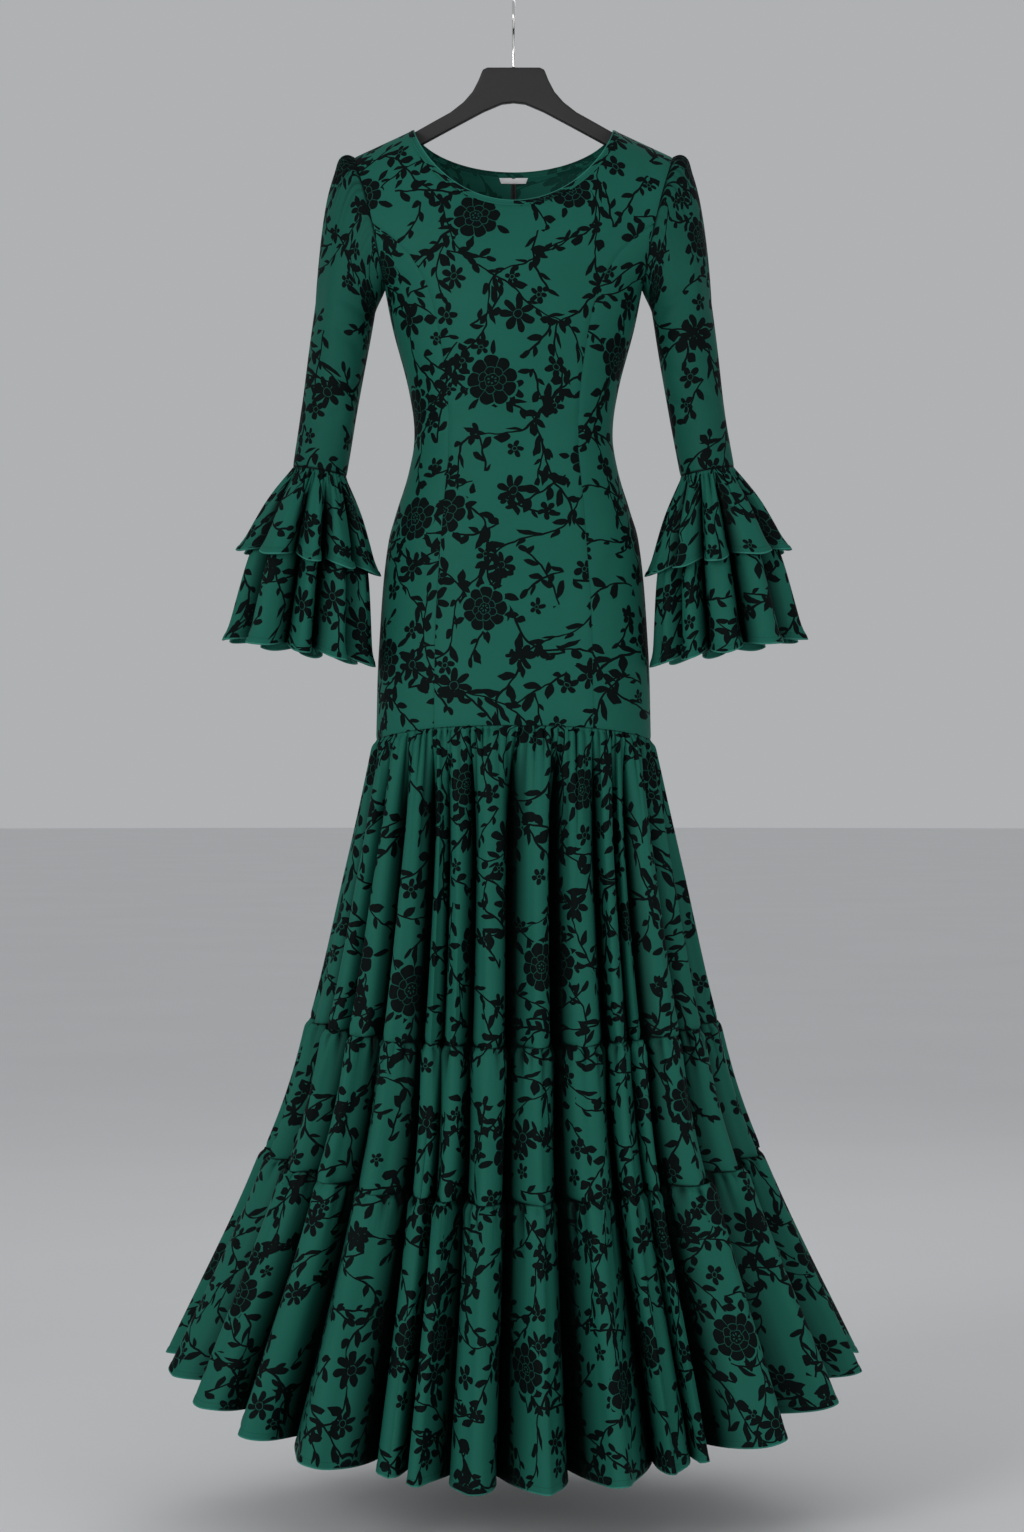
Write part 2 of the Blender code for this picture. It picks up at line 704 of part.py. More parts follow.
def make_hook(steel):
    """Round wire from the hanger's top, over the rod's place, to an open tip behind."""
    middle = HOOK_INSIDE + WIRE / 2
    steps = 20
    route = []
    for i in range(steps + 1):
        turn = HOOK_TIP + (HOOK_NECK - HOOK_TIP) * i / steps
        route.append((-middle * sin(turn), middle * cos(turn) - HOOK_INSIDE))
    route += SHANK
    curve = bpy.data.curves.new("hook", "CURVE")
    curve.dimensions = "3D"
    curve.bevel_depth = WIRE / 2
    curve.bevel_resolution = 2
    curve.use_fill_caps = True
    spline = curve.splines.new("POLY")
    spline.points.add(len(route) - 1)
    for point, (y, z) in zip(spline.points, route):
        point.co = (0.0, y, z, 1.0)
    curve.materials.append(steel)
    DRESS.objects.link(bpy.data.objects.new("hook", curve))


def main():
    """Makes every piece of the dress and what it hangs on."""
    green = finish("green_print", GREEN, 0.55, 0.0)
    centre_back = make_bodice(green)
    make_neck_band(green)
    white = finish("white_label", WHITE, 0.6, 0.0)
    make_label_and_zip(centre_back, white, finish("dark_zip", DARK, 0.5, 0.0))
    make_sleeves(green)
    make_flounces(green)
    make_skirt(green)
    make_hanger(finish("charcoal", CHARCOAL, 0.5, 0.0))
    make_hook(finish("steel", STEEL, 0.2, 1.0))


main()
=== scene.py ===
# %% [markdown]
# # A printed flamenco dress on its hanger
# The dress hangs from a wire hook. It is cut from one printed crepe: a fitted
# bodice of five panels, long sleeves with two flounces each, and a skirt of
# three gathered tiers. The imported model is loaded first. It is the fixed frame:
# every piece made below lies on the same form as one of its nodes and stands
# for it.

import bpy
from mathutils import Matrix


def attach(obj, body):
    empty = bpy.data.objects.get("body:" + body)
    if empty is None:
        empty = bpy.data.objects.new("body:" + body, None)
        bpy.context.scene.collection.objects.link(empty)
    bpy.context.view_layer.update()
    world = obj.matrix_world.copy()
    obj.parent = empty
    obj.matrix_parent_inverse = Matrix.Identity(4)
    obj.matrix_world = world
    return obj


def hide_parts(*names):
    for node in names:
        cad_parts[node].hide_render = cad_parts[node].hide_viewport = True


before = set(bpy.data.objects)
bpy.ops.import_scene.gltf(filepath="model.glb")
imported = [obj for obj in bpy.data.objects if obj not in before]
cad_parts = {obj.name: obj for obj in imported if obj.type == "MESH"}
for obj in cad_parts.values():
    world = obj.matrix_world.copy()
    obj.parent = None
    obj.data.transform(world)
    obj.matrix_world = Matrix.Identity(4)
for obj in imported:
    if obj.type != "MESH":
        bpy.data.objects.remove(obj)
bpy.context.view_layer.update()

from collections import namedtuple
from math import cos, exp, pi, radians, sin

import bpy
import numpy as np

print("nodes:", sorted(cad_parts))

# %% [markdown]
# ## The tables of the garment
# A pattern cutter keeps a garment as a few measures at named heights. The same
# is done here. Each row is a section of the dress, in metres, with +Z up and
# the front facing -Y, and the origin inside the crown of the hook. Reading a
# table on one smooth curve gives the form at any height, so a piece can have as
# many rows as its creases need.

# %% The bodice's and sleeves' measures
WALL = 0.0012
OVAL = 2.4
NECK_POINT_X = 0.109
NECK_POINT_Z = -0.139
SHOULDER_SLOPE = 0.456
UNDERARM_Z = -0.315
FRONT_NECK_Z = -0.229
BACK_NECK_Z = -0.1745
BAND_WIDTH = 0.006
NECK_ROUND = 1.35
SHOULDER_ROUNDING = 0.08
CHEST_SPREAD = 0.7
HIP_SIDE_Z = -0.811
HIP_CENTRE_Z = -0.795
DIP_POWER = 1.4

Section = namedtuple("Section", "z half_width front back")
BODICE = [
    Section(-0.130, 0.1880, 0.054, 0.050),
    Section(-0.170, 0.1770, 0.062, 0.060),
    Section(-0.216, 0.1630, 0.074, 0.068),
    Section(-0.260, 0.1520, 0.088, 0.076),
    Section(-0.315, 0.1415, 0.098, 0.080),
    Section(-0.360, 0.1325, 0.096, 0.077),
    Section(-0.425, 0.1155, 0.082, 0.070),
    Section(-0.475, 0.1090, 0.074, 0.066),
    Section(-0.520, 0.1160, 0.076, 0.072),
    Section(-0.590, 0.1370, 0.086, 0.088),
    Section(-0.711, 0.1480, 0.094, 0.100),
    Section(-0.811, 0.1510, 0.096, 0.100),
]
Seam = namedtuple("Seam", "z x")
PRINCESS = [
    Seam(-0.252, 0.1510),
    Seam(-0.268, 0.1310),
    Seam(-0.290, 0.1110),
    Seam(-0.330, 0.0900),
    Seam(-0.400, 0.0760),
    Seam(-0.475, 0.0700),
    Seam(-0.560, 0.0760),
    Seam(-0.680, 0.0840),
    Seam(-0.811, 0.0860),
]
PRINCESS_TOP_Z = PRINCESS[0].z
Cuff = namedtuple("Cuff", "x y z half_width half_depth")
SLEEVE = [
    Cuff(0.1850, 0.000, -0.336, 0.0325, 0.046),
    Cuff(0.1925, -0.006, -0.390, 0.0315, 0.042),
    Cuff(0.2010, -0.014, -0.450, 0.0300, 0.039),
    Cuff(0.2120, -0.022, -0.518, 0.0293, 0.035),
]
SLEEVE_LEAN = 0.175
CAP_TOP_PULL = np.array([0.072, 0.0, 0.034])
CAP_UNDER_PULL = np.array([0.0, 0.0, -0.012])
CAP_TOP_DROP = np.array([0.010, 0.0, -0.210])
CAP_UNDER_DROP = np.array([0.002, 0.0, -0.020])
print("bodice from", BODICE[0].z, "to", BODICE[-1].z)

# %% The flounces' and skirt's measures
Flare = namedtuple("Flare", "x y z half_width half_depth fold")
UPPER_FLOUNCE = [
    Flare(0.2120, -0.0220, -0.5180, 0.0293, 0.035, 0.000),
    Flare(0.2172, -0.0266, -0.5580, 0.0524, 0.0526, 0.008),
    Flare(0.2240, -0.0310, -0.6130, 0.0770, 0.066, 0.016),
]
LOWER_FLOUNCE = [
    Flare(0.2122, -0.0220, -0.5195, 0.0255, 0.0312, 0.000),
    Flare(0.2170, -0.0265, -0.5590, 0.0455, 0.0455, 0.008),
    Flare(0.2241, -0.0311, -0.6140, 0.0650, 0.0560, 0.015),
    Flare(0.2350, -0.0380, -0.7110, 0.0815, 0.072, 0.019),
]
Pleat = namedtuple("Pleat", "angle depth rise")
RIGHT_PLEATS = [
    Pleat(5, 1.0, -0.05),
    Pleat(38, 0.9, 0.05),
    Pleat(69, 0.8, 0.00),
    Pleat(102, 0.9, 0.08),
    Pleat(147, 1.0, 0.00),
    Pleat(187, 0.9, 0.06),
    Pleat(227, 1.0, 0.00),
    Pleat(263, 0.8, 0.00),
    Pleat(298, 0.9, 0.02),
    Pleat(332, 1.0, 0.07),
]
LEFT_PLEATS = [
    Pleat(-66, 0.8, 0.05),
    Pleat(-30, 1.0, 0.00),
    Pleat(4, 0.9, 0.00),
    Pleat(36, 1.0, 0.06),
    Pleat(70, 0.9, -0.05),
    Pleat(98, 0.8, 0.08),
    Pleat(144, 1.0, 0.00),
    Pleat(188, 0.8, 0.05),
    Pleat(226, 1.0, 0.00),
    Pleat(262, 0.9, 0.04),
]
Ring = namedtuple("Ring", "side_z centre_z half_width front back fold oval")
SKIRT = [
    Ring(-0.811, -0.795, 0.151, 0.096, 0.100, 0.000, 2.40),
    Ring(-0.862, -0.852, 0.165, 0.108, 0.114, 0.008, 2.30),
    Ring(-0.953, -0.952, 0.186, 0.132, 0.142, 0.016, 2.15),
    Ring(-1.115, -1.133, 0.223, 0.170, 0.184, 0.027, 2.05),
    Ring(-1.257, -1.291, 0.271, 0.213, 0.230, 0.038, 2.00),
    Ring(-1.481, -1.576, 0.382, 0.272, 0.292, 0.056, 2.00),
]
Hollow = namedtuple("Hollow", "hip hem depth rise")
SKIRT_FOLDS = [
    Hollow(-87, -86, 0.70, 0.00),
    Hollow(-72, -70, 0.95, 0.00),
    Hollow(-58, -55, 0.90, 0.00),
    Hollow(-44, -41, 0.80, 0.10),
    Hollow(-31, -24, 1.00, -0.40),
    Hollow(-24, -18, 0.85, -0.10),
    Hollow(-15, -13, 0.95, 0.12),
    Hollow(1, 0, 1.10, 0.08),
    Hollow(15, 11, 1.20, 0.05),
    Hollow(31, 23, 0.90, -0.12),
    Hollow(41, 30, 0.70, -0.35),
    Hollow(49, 36, 0.95, 0.12),
    Hollow(63, 54, 0.90, 0.00),
    Hollow(76, 71, 0.95, 0.00),
    Hollow(90, 87, 0.75, 0.00),
    Hollow(103, 102, 0.90, 0.05),
    Hollow(117, 118, 0.95, -0.10),
    Hollow(129, 131, 0.80, 0.10),
    Hollow(143, 147, 1.00, -0.30),
    Hollow(151, 156, 0.80, 0.05),
    Hollow(163, 168, 0.95, 0.10),
    Hollow(179, 182, 1.10, 0.00),
    Hollow(190, 192, 0.85, 0.10),
    Hollow(205, 206, 0.95, -0.20),
    Hollow(215, 216, 0.80, 0.05),
    Hollow(228, 230, 0.90, 0.10),
    Hollow(243, 245, 0.95, 0.00),
    Hollow(258, 260, 0.85, 0.00),
]
FOLD_FULLNESS = 0.66
HOLLOW_DEPTH = 1.5
HOLLOW_LEAN = 0.55
print("folds round the skirt:", len(SKIRT_FOLDS))

# %% Reading a table smoothly
Numbered = namedtuple("Numbered", "place value")


def smooth(rows, column, at):
    """A column at heights between the rows, on one smooth curve."""
    places = np.array([row[0] for row in rows], float)
    values = np.array([getattr(row, column) for row in rows], float)
    if places[-1] < places[0]:
        places = places[::-1]
        values = values[::-1]
    last = len(places) - 1
    i = np.clip(np.searchsorted(places, at) - 1, 0, last - 1)
    low = np.maximum(i - 1, 0)
    high = np.minimum(i + 2, last)
    span = places[i + 1] - places[i]
    t = np.clip((at - places[i]) / span, 0, 1)
    leave = (values[i + 1] - values[low]) / (places[i + 1] - places[low]) * span
    arrive = (values[high] - values[i]) / (places[high] - places[i]) * span
    start = values[i] * (1 + 2 * t) + leave * t
    end = values[i + 1] * (3 - 2 * t) + arrive * (t - 1)
    return start * (1 - t) ** 2 + end * t * t


def between(rows, column, at):
    """A column at a fractional row number."""
    numbered = [Numbered(i, getattr(row, column)) for i, row in enumerate(rows)]
    return smooth(numbered, "value", at)


def signed_power(value, power):
    """A power that keeps the sign, for ovals."""
    return np.sign(value) * np.abs(value) ** power


print("waist:", round(float(smooth(BODICE, "half_width", -0.475)), 4))

# %% The form of the bodice


def shoulder_z(x):
    """Height of the shoulder line, rounded between the neck points."""
    out = np.abs(x)
    inner = out**2 / (2 * NECK_POINT_X) + NECK_POINT_X / 2
    return NECK_POINT_Z - SHOULDER_SLOPE * (np.where(out < NECK_POINT_X, inner, out) - NECK_POINT_X)


def fall(below_shoulder):
    """Cloth rounds over the shoulder and then hangs."""
    return 1 - np.exp(-((np.maximum(below_shoulder, 0.0) / SHOULDER_ROUNDING) ** 0.75))


def on_bodice(x, z, back):
    """Points of the front or back at places seen from the front."""
    middle = smooth(BODICE, "back" if back else "front", z)
    reach = smooth(BODICE, "half_width", z) + CHEST_SPREAD * np.maximum(0.0, z - UNDERARM_Z)
    across = (1 - np.minimum(1.0, np.abs(x) / reach) ** OVAL) ** (1 / OVAL)
    depth = middle * across * fall(shoulder_z(x) - z) / fall(shoulder_z(0.0) - z)
    return np.stack([x, depth if back else -depth, z], -1)


def neck_place(turn, offset):
    """A place on the neck edge: turn 0 front, a quarter at the right shoulder."""
    half = NECK_POINT_X + offset
    top = shoulder_z(half)
    low = np.where(np.cos(turn) > 0, FRONT_NECK_Z, BACK_NECK_Z) - offset
    return half * np.sin(turn), top - (top - low) * np.abs(np.cos(turn)) ** NECK_ROUND


def shoulder_column_z(angle):
    """Height at which a column meets the shoulder seam, found by halving."""
    low = np.full(np.shape(angle), UNDERARM_Z)
    high = np.full(np.shape(angle), NECK_POINT_Z)
    for _ in range(40):
        z = (low + high) / 2
        over = z > shoulder_z(smooth(BODICE, "half_width", z) * np.sin(angle) ** (2 / OVAL))
        high = np.where(over, z, high)
        low = np.where(over, low, z)
    return low


def princess_angle(z):
    """The angle round the bodice at which the princess seam runs."""
    z = np.minimum(z, PRINCESS_TOP_Z)
    return np.arcsin((smooth(PRINCESS, "x", z) / smooth(BODICE, "half_width", z)) ** (OVAL / 2))


print("shoulder tip at", round(float(shoulder_column_z(np.array(pi / 2))), 4))

# %% [markdown]
# ## Cloth from rows of points
# A cloth wall is a grid of points with a second grid one cloth's thickness
# inside it, and a rim round its edges. It could be a plane with a Solidify
# modifier, but the grid is known here, so both faces are laid in mesh code and
# each point can carry what the material needs: where it is on the flat cloth,
# how near the gathers and the stitching it is, how much painted shade it gets,
# and whether it is the wrong side.

# %% Measuring a grid


def outward(grid, closed):
    """The outward direction at each point, and whether the columns run the usual way."""
    if closed:
        along = np.roll(grid, -1, 1) - np.roll(grid, 1, 1)
        centre = grid.mean(axis=1, keepdims=True)
    else:
        along = np.gradient(grid, axis=1)
        centre = grid * (0.0, 0.0, 1.0)
    normal = np.cross(np.gradient(grid, axis=0), along)
    normal /= np.maximum(np.linalg.norm(normal, axis=-1, keepdims=True), 1e-12)
    usual = float(np.sum(normal * (grid - centre))) > 0
    return (normal if usual else -normal), usual


def spans_of(grid, closed):
    """Lengths from each point to the next one along its row."""
    after = np.roll(grid, -1, 1) if closed else grid[:, 1:]
    before = grid if closed else grid[:, :-1]
    return np.linalg.norm(after - before, axis=-1)


def down_columns(grid):
    """Distance of each point from the top of its column, along the cloth."""
    steps = np.linalg.norm(np.diff(grid, axis=0), axis=-1)
    return np.concatenate([np.zeros((1, grid.shape[1])), np.cumsum(steps, axis=0)])


def along_rows(grid):
    """Distance of each point from the start of its row."""
    steps = np.linalg.norm(np.diff(grid, axis=1), axis=-1)
    return np.concatenate([np.zeros((grid.shape[0], 1)), np.cumsum(steps, axis=1)], axis=1)


def raised(grid, relief, closed):
    """The grid with each point moved out of the cloth by its relief."""
    return grid + outward(grid, closed)[0] * relief[..., None]


def spaced(length, coarse, fine=0.0022, reach=0.012):
    """Distances from 0 to a length, closer together near both ends."""
    at = np.linspace(0, length, 4000)
    density = 1 / coarse + (np.exp(-at / reach) + np.exp(-(length - at) / reach)) / fine
    count = np.concatenate([[0], np.cumsum(density[1:] * np.diff(at))])
    return np.interp(np.linspace(0, count[-1], int(count[-1]) + 2), count, at)


print("rows in 340 mm:", len(spaced(0.34, 0.008)))

# %% Laying the print on a grid


def flat_places(grid, closed, cuts):
    """Where each corner of the grid's faces lies on the flat cloth, in metres.

    A panel's rows are measured level and its columns upright, so the print
    stands straight however its edges curve.
    Where folds are given by the columns they start at, each fold keeps its own
    part of the print, and what the gathers take up is lost in the hollows."""
    spans = spans_of(grid if closed else grid * (1.0, 1.0, 0.0), closed)
    count = spans.shape[1]
    held = 0.5 if closed or grid[0, 0, 0] * grid[0, -1, 0] < 0 else 0.0
    starts = np.array([0] if cuts is None else cuts)
    ends = np.append(starts[1:], count)
    left = np.zeros(spans.shape)
    base = 0.0
    for start, end in zip(starts, ends):
        part = spans[:, start:end]
        total = part.sum(axis=1, keepdims=True)
        stretch = (total[-1:] / total) ** (0.0 if cuts is None else 0.35)
        walked = np.cumsum(part, axis=1) - part
        left[:, start:end] = base + total[-1, 0] * held + (walked - total * held) * stretch
        spans[:, start:end] = part * stretch
        base += total[-1, 0]
    depth = down_columns(grid if closed else grid * (0.0, 1.0, 1.0))
    return left, left + spans, depth - depth[-1:]


# %% Making the cloth
made = []


def place_colour(mesh, name, values):
    """Keeps one number for each point of a mesh."""
    kept = mesh.attributes.new(name, "FLOAT", "POINT")
    kept.data.foreach_set("value", np.ascontiguousarray(values, np.float32).ravel())


def cloth(
    name, grid, material, closed=False, cuts=None,
    shift=(0.0, 0.0), gather=None, stitch_and_highlight=None, depth_and_painted_shade=None,
):
    """A wall of cloth from rows of points that run downwards."""
    rows, count = grid.shape[:2]
    ways, usual = outward(grid, closed)
    points = np.concatenate([grid.reshape(-1, 3), (grid - ways * WALL).reshape(-1, 3)])
    index = np.arange(rows * count).reshape(rows, count)
    i = np.arange(count if closed else count - 1)
    j = (i + 1) % count
    under = rows * count
    left, right, depth = flat_places(grid, closed, cuts)

    def spot(u, k, column):
        return np.stack([u[k] + shift[0], depth[k][..., column] + shift[1]], -1)

    body = np.stack([index[:-1][:, i], index[1:][:, i], index[1:][:, j], index[:-1][:, j]], -1)
    upper = slice(0, -1)
    lower = slice(1, None)
    body_uv = np.stack(
        [spot(left, upper, i), spot(left, lower, i), spot(right, lower, j), spot(right, upper, j)], -2
    )
    body = body.reshape(-1, 4)
    body_uv = body_uv.reshape(-1, 4, 2)
    top = np.stack([index[0, i], index[0, j], index[0, j] + under, index[0, i] + under], -1)
    foot = np.stack([index[-1, j], index[-1, i], index[-1, i] + under, index[-1, j] + under], -1)
    top_uv = np.stack([spot(left, 0, i), spot(right, 0, j), spot(right, 0, j), spot(left, 0, i)], -2)
    foot_left = spot(left, -1, i)
    foot_right = spot(right, -1, j)
    foot_uv = np.stack([foot_right, foot_left, foot_left, foot_right], -2)
    faces = [body, (body + under)[:, ::-1], top, foot]
    places = [body_uv, body_uv[:, ::-1], top_uv, foot_uv]
    if not closed:
        for column, u, turned in ((0, left[:, 0], False), (-1, right[:, -1], True)):
            edge = index[:, column]
            rim = np.stack([edge[1:], edge[:-1], edge[:-1] + under, edge[1:] + under], -1)
            line = np.stack([u + shift[0], depth[:, column] + shift[1]], -1)
            rim_uv = np.stack([line[1:], line[:-1], line[:-1], line[1:]], -2)
            faces.append(rim[:, ::-1] if turned else rim)
            places.append(rim_uv[:, ::-1] if turned else rim_uv)
    faces = np.concatenate(faces)
    places = np.concatenate(places)
    if not usual:
        faces = faces[:, ::-1]
        places = places[:, ::-1]
    mesh = bpy.data.meshes.new(name)
    mesh.from_pydata(points.tolist(), [], faces.tolist())
    layer = mesh.uv_layers.new(name="print")
    layer.data.foreach_set("uv", np.ascontiguousarray(places, np.float32).ravel())
    none = np.zeros(grid.shape[:2])
    # The shade number is painted shade, and the stitch distance also places a painted highlight along hems.
    for key, values in (("gather", gather), ("stitch_and_highlight", stitch_and_highlight), ("depth_and_painted_shade", depth_and_painted_shade)):
        values = none + (1.0 if key == "stitch_and_highlight" else 0.0) if values is None else none + values
        place_colour(mesh, key, np.concatenate([values.ravel(), values.ravel()]))
    place_colour(mesh, "inside", np.repeat([0.0, 1.0], under))
    mesh.materials.append(material)
    mesh.shade_smooth()
    mesh.set_sharp_from_angle(angle=radians(65))
    thing = bpy.data.objects.new(name, mesh)
    bpy.context.scene.collection.objects.link(thing)
    made.append(thing)
    return thing


def area_of(grid, closed):
    """The area of one side of the cloth."""
    after = np.roll(grid, -1, 1) if closed else grid[:, 1:]
    before = grid if closed else grid[:, :-1]
    first = np.cross(before[1:] - before[:-1], after[:-1] - before[:-1])
    second = np.cross(before[1:] - after[1:], after[:-1] - after[1:])
    return float((np.linalg.norm(first, axis=-1) + np.linalg.norm(second, axis=-1)).sum() / 2)


def wear(piece, node, grid, closed, flat=None):
    """Puts a cloth piece in the place of its node."""
    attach(piece, "root")
    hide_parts(node)
    area = area_of(grid, closed)
    if flat is None:
        width = float(spans_of(grid, closed).sum(axis=1).max())


# %% [markdown]
# ## Seams, gathers and creases
# What makes cloth read as cloth is how it meets its seams. It sinks a little
# into each seam, a gathered edge stands in fine uneven hollows that fade within
# a few centimetres, and a fitted bodice has a few long soft creases where it
# bends. Each of these is a relief: a number for each point, added along the
# outward direction.

# %% Reliefs
SEAM_SINK = 0.0008
SEAM_REACH = 0.0030
HEM_DEPTH = 0.0075


def sink(distance, depth=SEAM_SINK, reach=SEAM_REACH):
    """Cloth sinks towards a seam."""
    return -depth * np.exp(-((distance / reach) ** 2))


def hem_relief(distance):
    """A turned hem is a little thicker, with a groove where it is stitched."""
    turned = 0.0005 / (1 + np.exp((distance - HEM_DEPTH) / 0.0006))
    return turned - 0.0006 * np.exp(-(((distance - HEM_DEPTH) / 0.0010) ** 2))


def gathers(place, to_seam, count, depth, reach, seed):
    """Uneven hollows that start at a seam; place is each column's share of the way round."""
    random = np.random.default_rng(seed)
    widths = random.uniform(0.6, 1.5, count)
    starts = np.concatenate([[0.0], np.cumsum(widths)]) / widths.sum()
    depth_and_painted_shade = random.uniform(0.5, 1.25, count) * depth
    far = reach * random.uniform(0.35, 1.0, count) ** 1.5 * 1.5
    here = np.clip(np.searchsorted(starts, place, side="right") - 1, 0, count - 1)
    share = np.clip((place - starts[here]) / (starts[here + 1] - starts[here]), 0, 1)
    crown = np.sin(pi * share) ** 0.8
    start = 1 - np.exp(-((to_seam / 0.0025) ** 2))

    def hollow(k):
        return depth_and_painted_shade[k % count] * np.exp(-((to_seam / far[k % count]) ** 1.3))

    return -start * (1 - crown) * (hollow(here) * (1 - share) + hollow(here + 1) * share)


Crease = namedtuple("Crease", "x0 z0 x1 z1 width depth")


def crease_relief(creases, x, z):
    """Soft troughs (below 0) and ridges along short lines, fading at their ends."""
    relief = np.zeros(np.shape(x))
    for c in creases:
        run = np.array([c.x1 - c.x0, c.z1 - c.z0])
        long = float(np.hypot(*run))
        t = ((x - c.x0) * run[0] + (z - c.z0) * run[1]) / long**2
        off = ((x - c.x0) * run[1] - (z - c.z0) * run[0]) / long
        ends = np.exp(-((np.maximum(0, np.abs(t - 0.5) - 0.35) / 0.2) ** 2))
        relief = relief + c.depth * np.exp(-((off / c.width) ** 2)) * ends
    return relief


print("hem stitched at", HEM_DEPTH)
# %% [markdown]
# ## The print and the cloth
# The cloth is a matt satin-backed crepe in dark emerald with a near-black
# floral print. An image would blur close up and can't be changed, so the print
# is drawn with maths on the flat cloth's own coordinates: climbing stems with
# leaves, loose sprigs, small blossoms, and roses with fine green lines between
# their petals. Each motif is drawn once, then scattered, turned and varied in
# cells, so no two places are the same. A small class gives a socket Python's
# operators, which keeps the drawing readable. A number kept on each point
# darkens hollows, gathers and seams, and both sleeves a little. It is painted
# shade, so it stays in any light.

# %% A socket that works like a number


class Signal:
    """A number that varies over a surface."""

    def __init__(self, board, socket):
        self.board = board
        self.socket = socket

    def __add__(self, other):
        return self.board.maths("ADD", self, other)

    __radd__ = __add__

    def __sub__(self, other):
        return self.board.maths("SUBTRACT", self, other)

    def __rsub__(self, other):
        return self.board.maths("SUBTRACT", other, self)

    def __mul__(self, other):
        return self.board.maths("MULTIPLY", self, other)

    __rmul__ = __mul__

    def __truediv__(self, other):
        return self.board.maths("DIVIDE", self, other)

    def __rtruediv__(self, other):
        return self.board.maths("DIVIDE", other, self)

    def __pow__(self, other):
        return self.board.maths("POWER", self, other)

    def __abs__(self):
        return self.board.maths("ABSOLUTE", self)

    def __lt__(self, other):
        return self.board.maths("LESS_THAN", self, other)

    def __gt__(self, other):
        return self.board.maths("GREATER_THAN", self, other)


class Board:
    """One material and its nodes."""

    def __init__(self, name):
        self.material = bpy.data.materials.new(name)
        self.material.use_nodes = True
        self.tree = self.material.node_tree
        self.shader = self.tree.nodes["Principled BSDF"]

    def set(self, socket, value):
        if isinstance(value, Signal):
            value = value.socket
        if isinstance(value, bpy.types.NodeSocket):
            self.tree.links.new(value, socket)
        else:
            socket.default_value = value

    def node(self, kind, settings=None, inputs=None):
        node = self.tree.nodes.new(kind)
        for key, value in (settings or {}).items():
            setattr(node, key, value)
        for key, value in (inputs or {}).items():
            self.set(node.inputs[key], value)
        return node

    def maths(self, operation, *values):
        node = self.node("ShaderNodeMath", {"operation": operation}, dict(enumerate(values)))
        return Signal(self, node.outputs[0])

    def either(self, first, *others):
        for other in others:
            first = self.maths("MAXIMUM", first, other)
        return first

    def vector(self, operation, *values):
        node = self.node("ShaderNodeVectorMath", {"operation": operation}, dict(enumerate(values)))
        return node.outputs[0]

    def split(self, vector):
        node = self.node("ShaderNodeSeparateXYZ", {}, {0: vector})
        return [Signal(self, socket) for socket in node.outputs]

    def join(self, x, y, z=0.0):
        return self.node("ShaderNodeCombineXYZ", {}, {0: x, 1: y, 2: z}).outputs[0]

    def blend(self, share, first, second):
        node = self.node("ShaderNodeMix", {"data_type": "RGBA"}, {0: share, 6: first, 7: second})
        return node.outputs[2]

    def noise(self, place, scale, detail=2.0, rough=0.5):
        inputs = {"Vector": place, "Scale": scale, "Detail": detail, "Roughness": rough}
        return self.node("ShaderNodeTexNoise", {}, inputs)

    def grain(self, place, scale, detail=2.0):
        return Signal(self, self.noise(place, scale, detail).outputs["Fac"])

    def bump(self, height, strength, distance=1.0):
        inputs = {"Strength": strength, "Distance": distance, "Height": height}
        return self.node("ShaderNodeBump", {}, inputs).outputs[0]

    def attribute(self, name):
        node = self.node("ShaderNodeAttribute", {"attribute_name": name})
        return Signal(self, node.outputs["Fac"])

    def finish(self, values):
        for name, value in values.items():
            self.set(self.shader.inputs[name], value)
        return self.material


print("boards ready")

# %% Motifs


def scatter(board, place, size, jitter):
    """Cells of a size; the place in the nearest cell's own turned axes, and two random numbers."""
    inputs = {"Vector": place, "Scale": 1 / size, "Randomness": jitter}
    cell = board.node("ShaderNodeTexVoronoi", {"voronoi_dimensions": "2D"}, inputs)
    x, y, _ = board.split(board.vector("SUBTRACT", place, cell.outputs["Position"]))
    colour = board.node("ShaderNodeSeparateColor", {}, {0: cell.outputs["Color"]})
    turn, first, second = [Signal(board, socket) for socket in colour.outputs]
    c = board.maths("COSINE", turn * (2 * pi))
    s = board.maths("SINE", turn * (2 * pi))
    return x * c + y * s, y * c - x * s, first, second


def polar(board, x, y):
    """Distance and angle of a place."""
    return board.maths("SQRT", x * x + y * y), board.maths("ARCTAN2", y, x)


def leaves(board, along, across, period, length, width, lean, seed):
    """Pointed leaves on alternate sides of a stem, each with its own length."""
    step = board.maths("FLOOR", along / period)
    within = along - step * period
    side = 1 - 2 * board.maths("FLOORED_MODULO", step, 2.0)
    spot = {"Vector": board.join(step, seed)}
    noise = board.node("ShaderNodeTexWhiteNoise", {"noise_dimensions": "2D"}, spot)
    size = 0.55 + 0.6 * Signal(board, noise.outputs["Value"])
    out = across * side
    t = (within * cos(lean) + out * sin(lean)) / (size * length)
    off = out * cos(lean) - within * sin(lean) + 0.0022 * t * t
    return abs(off) < size * t * (1 - t) * (4 * width)


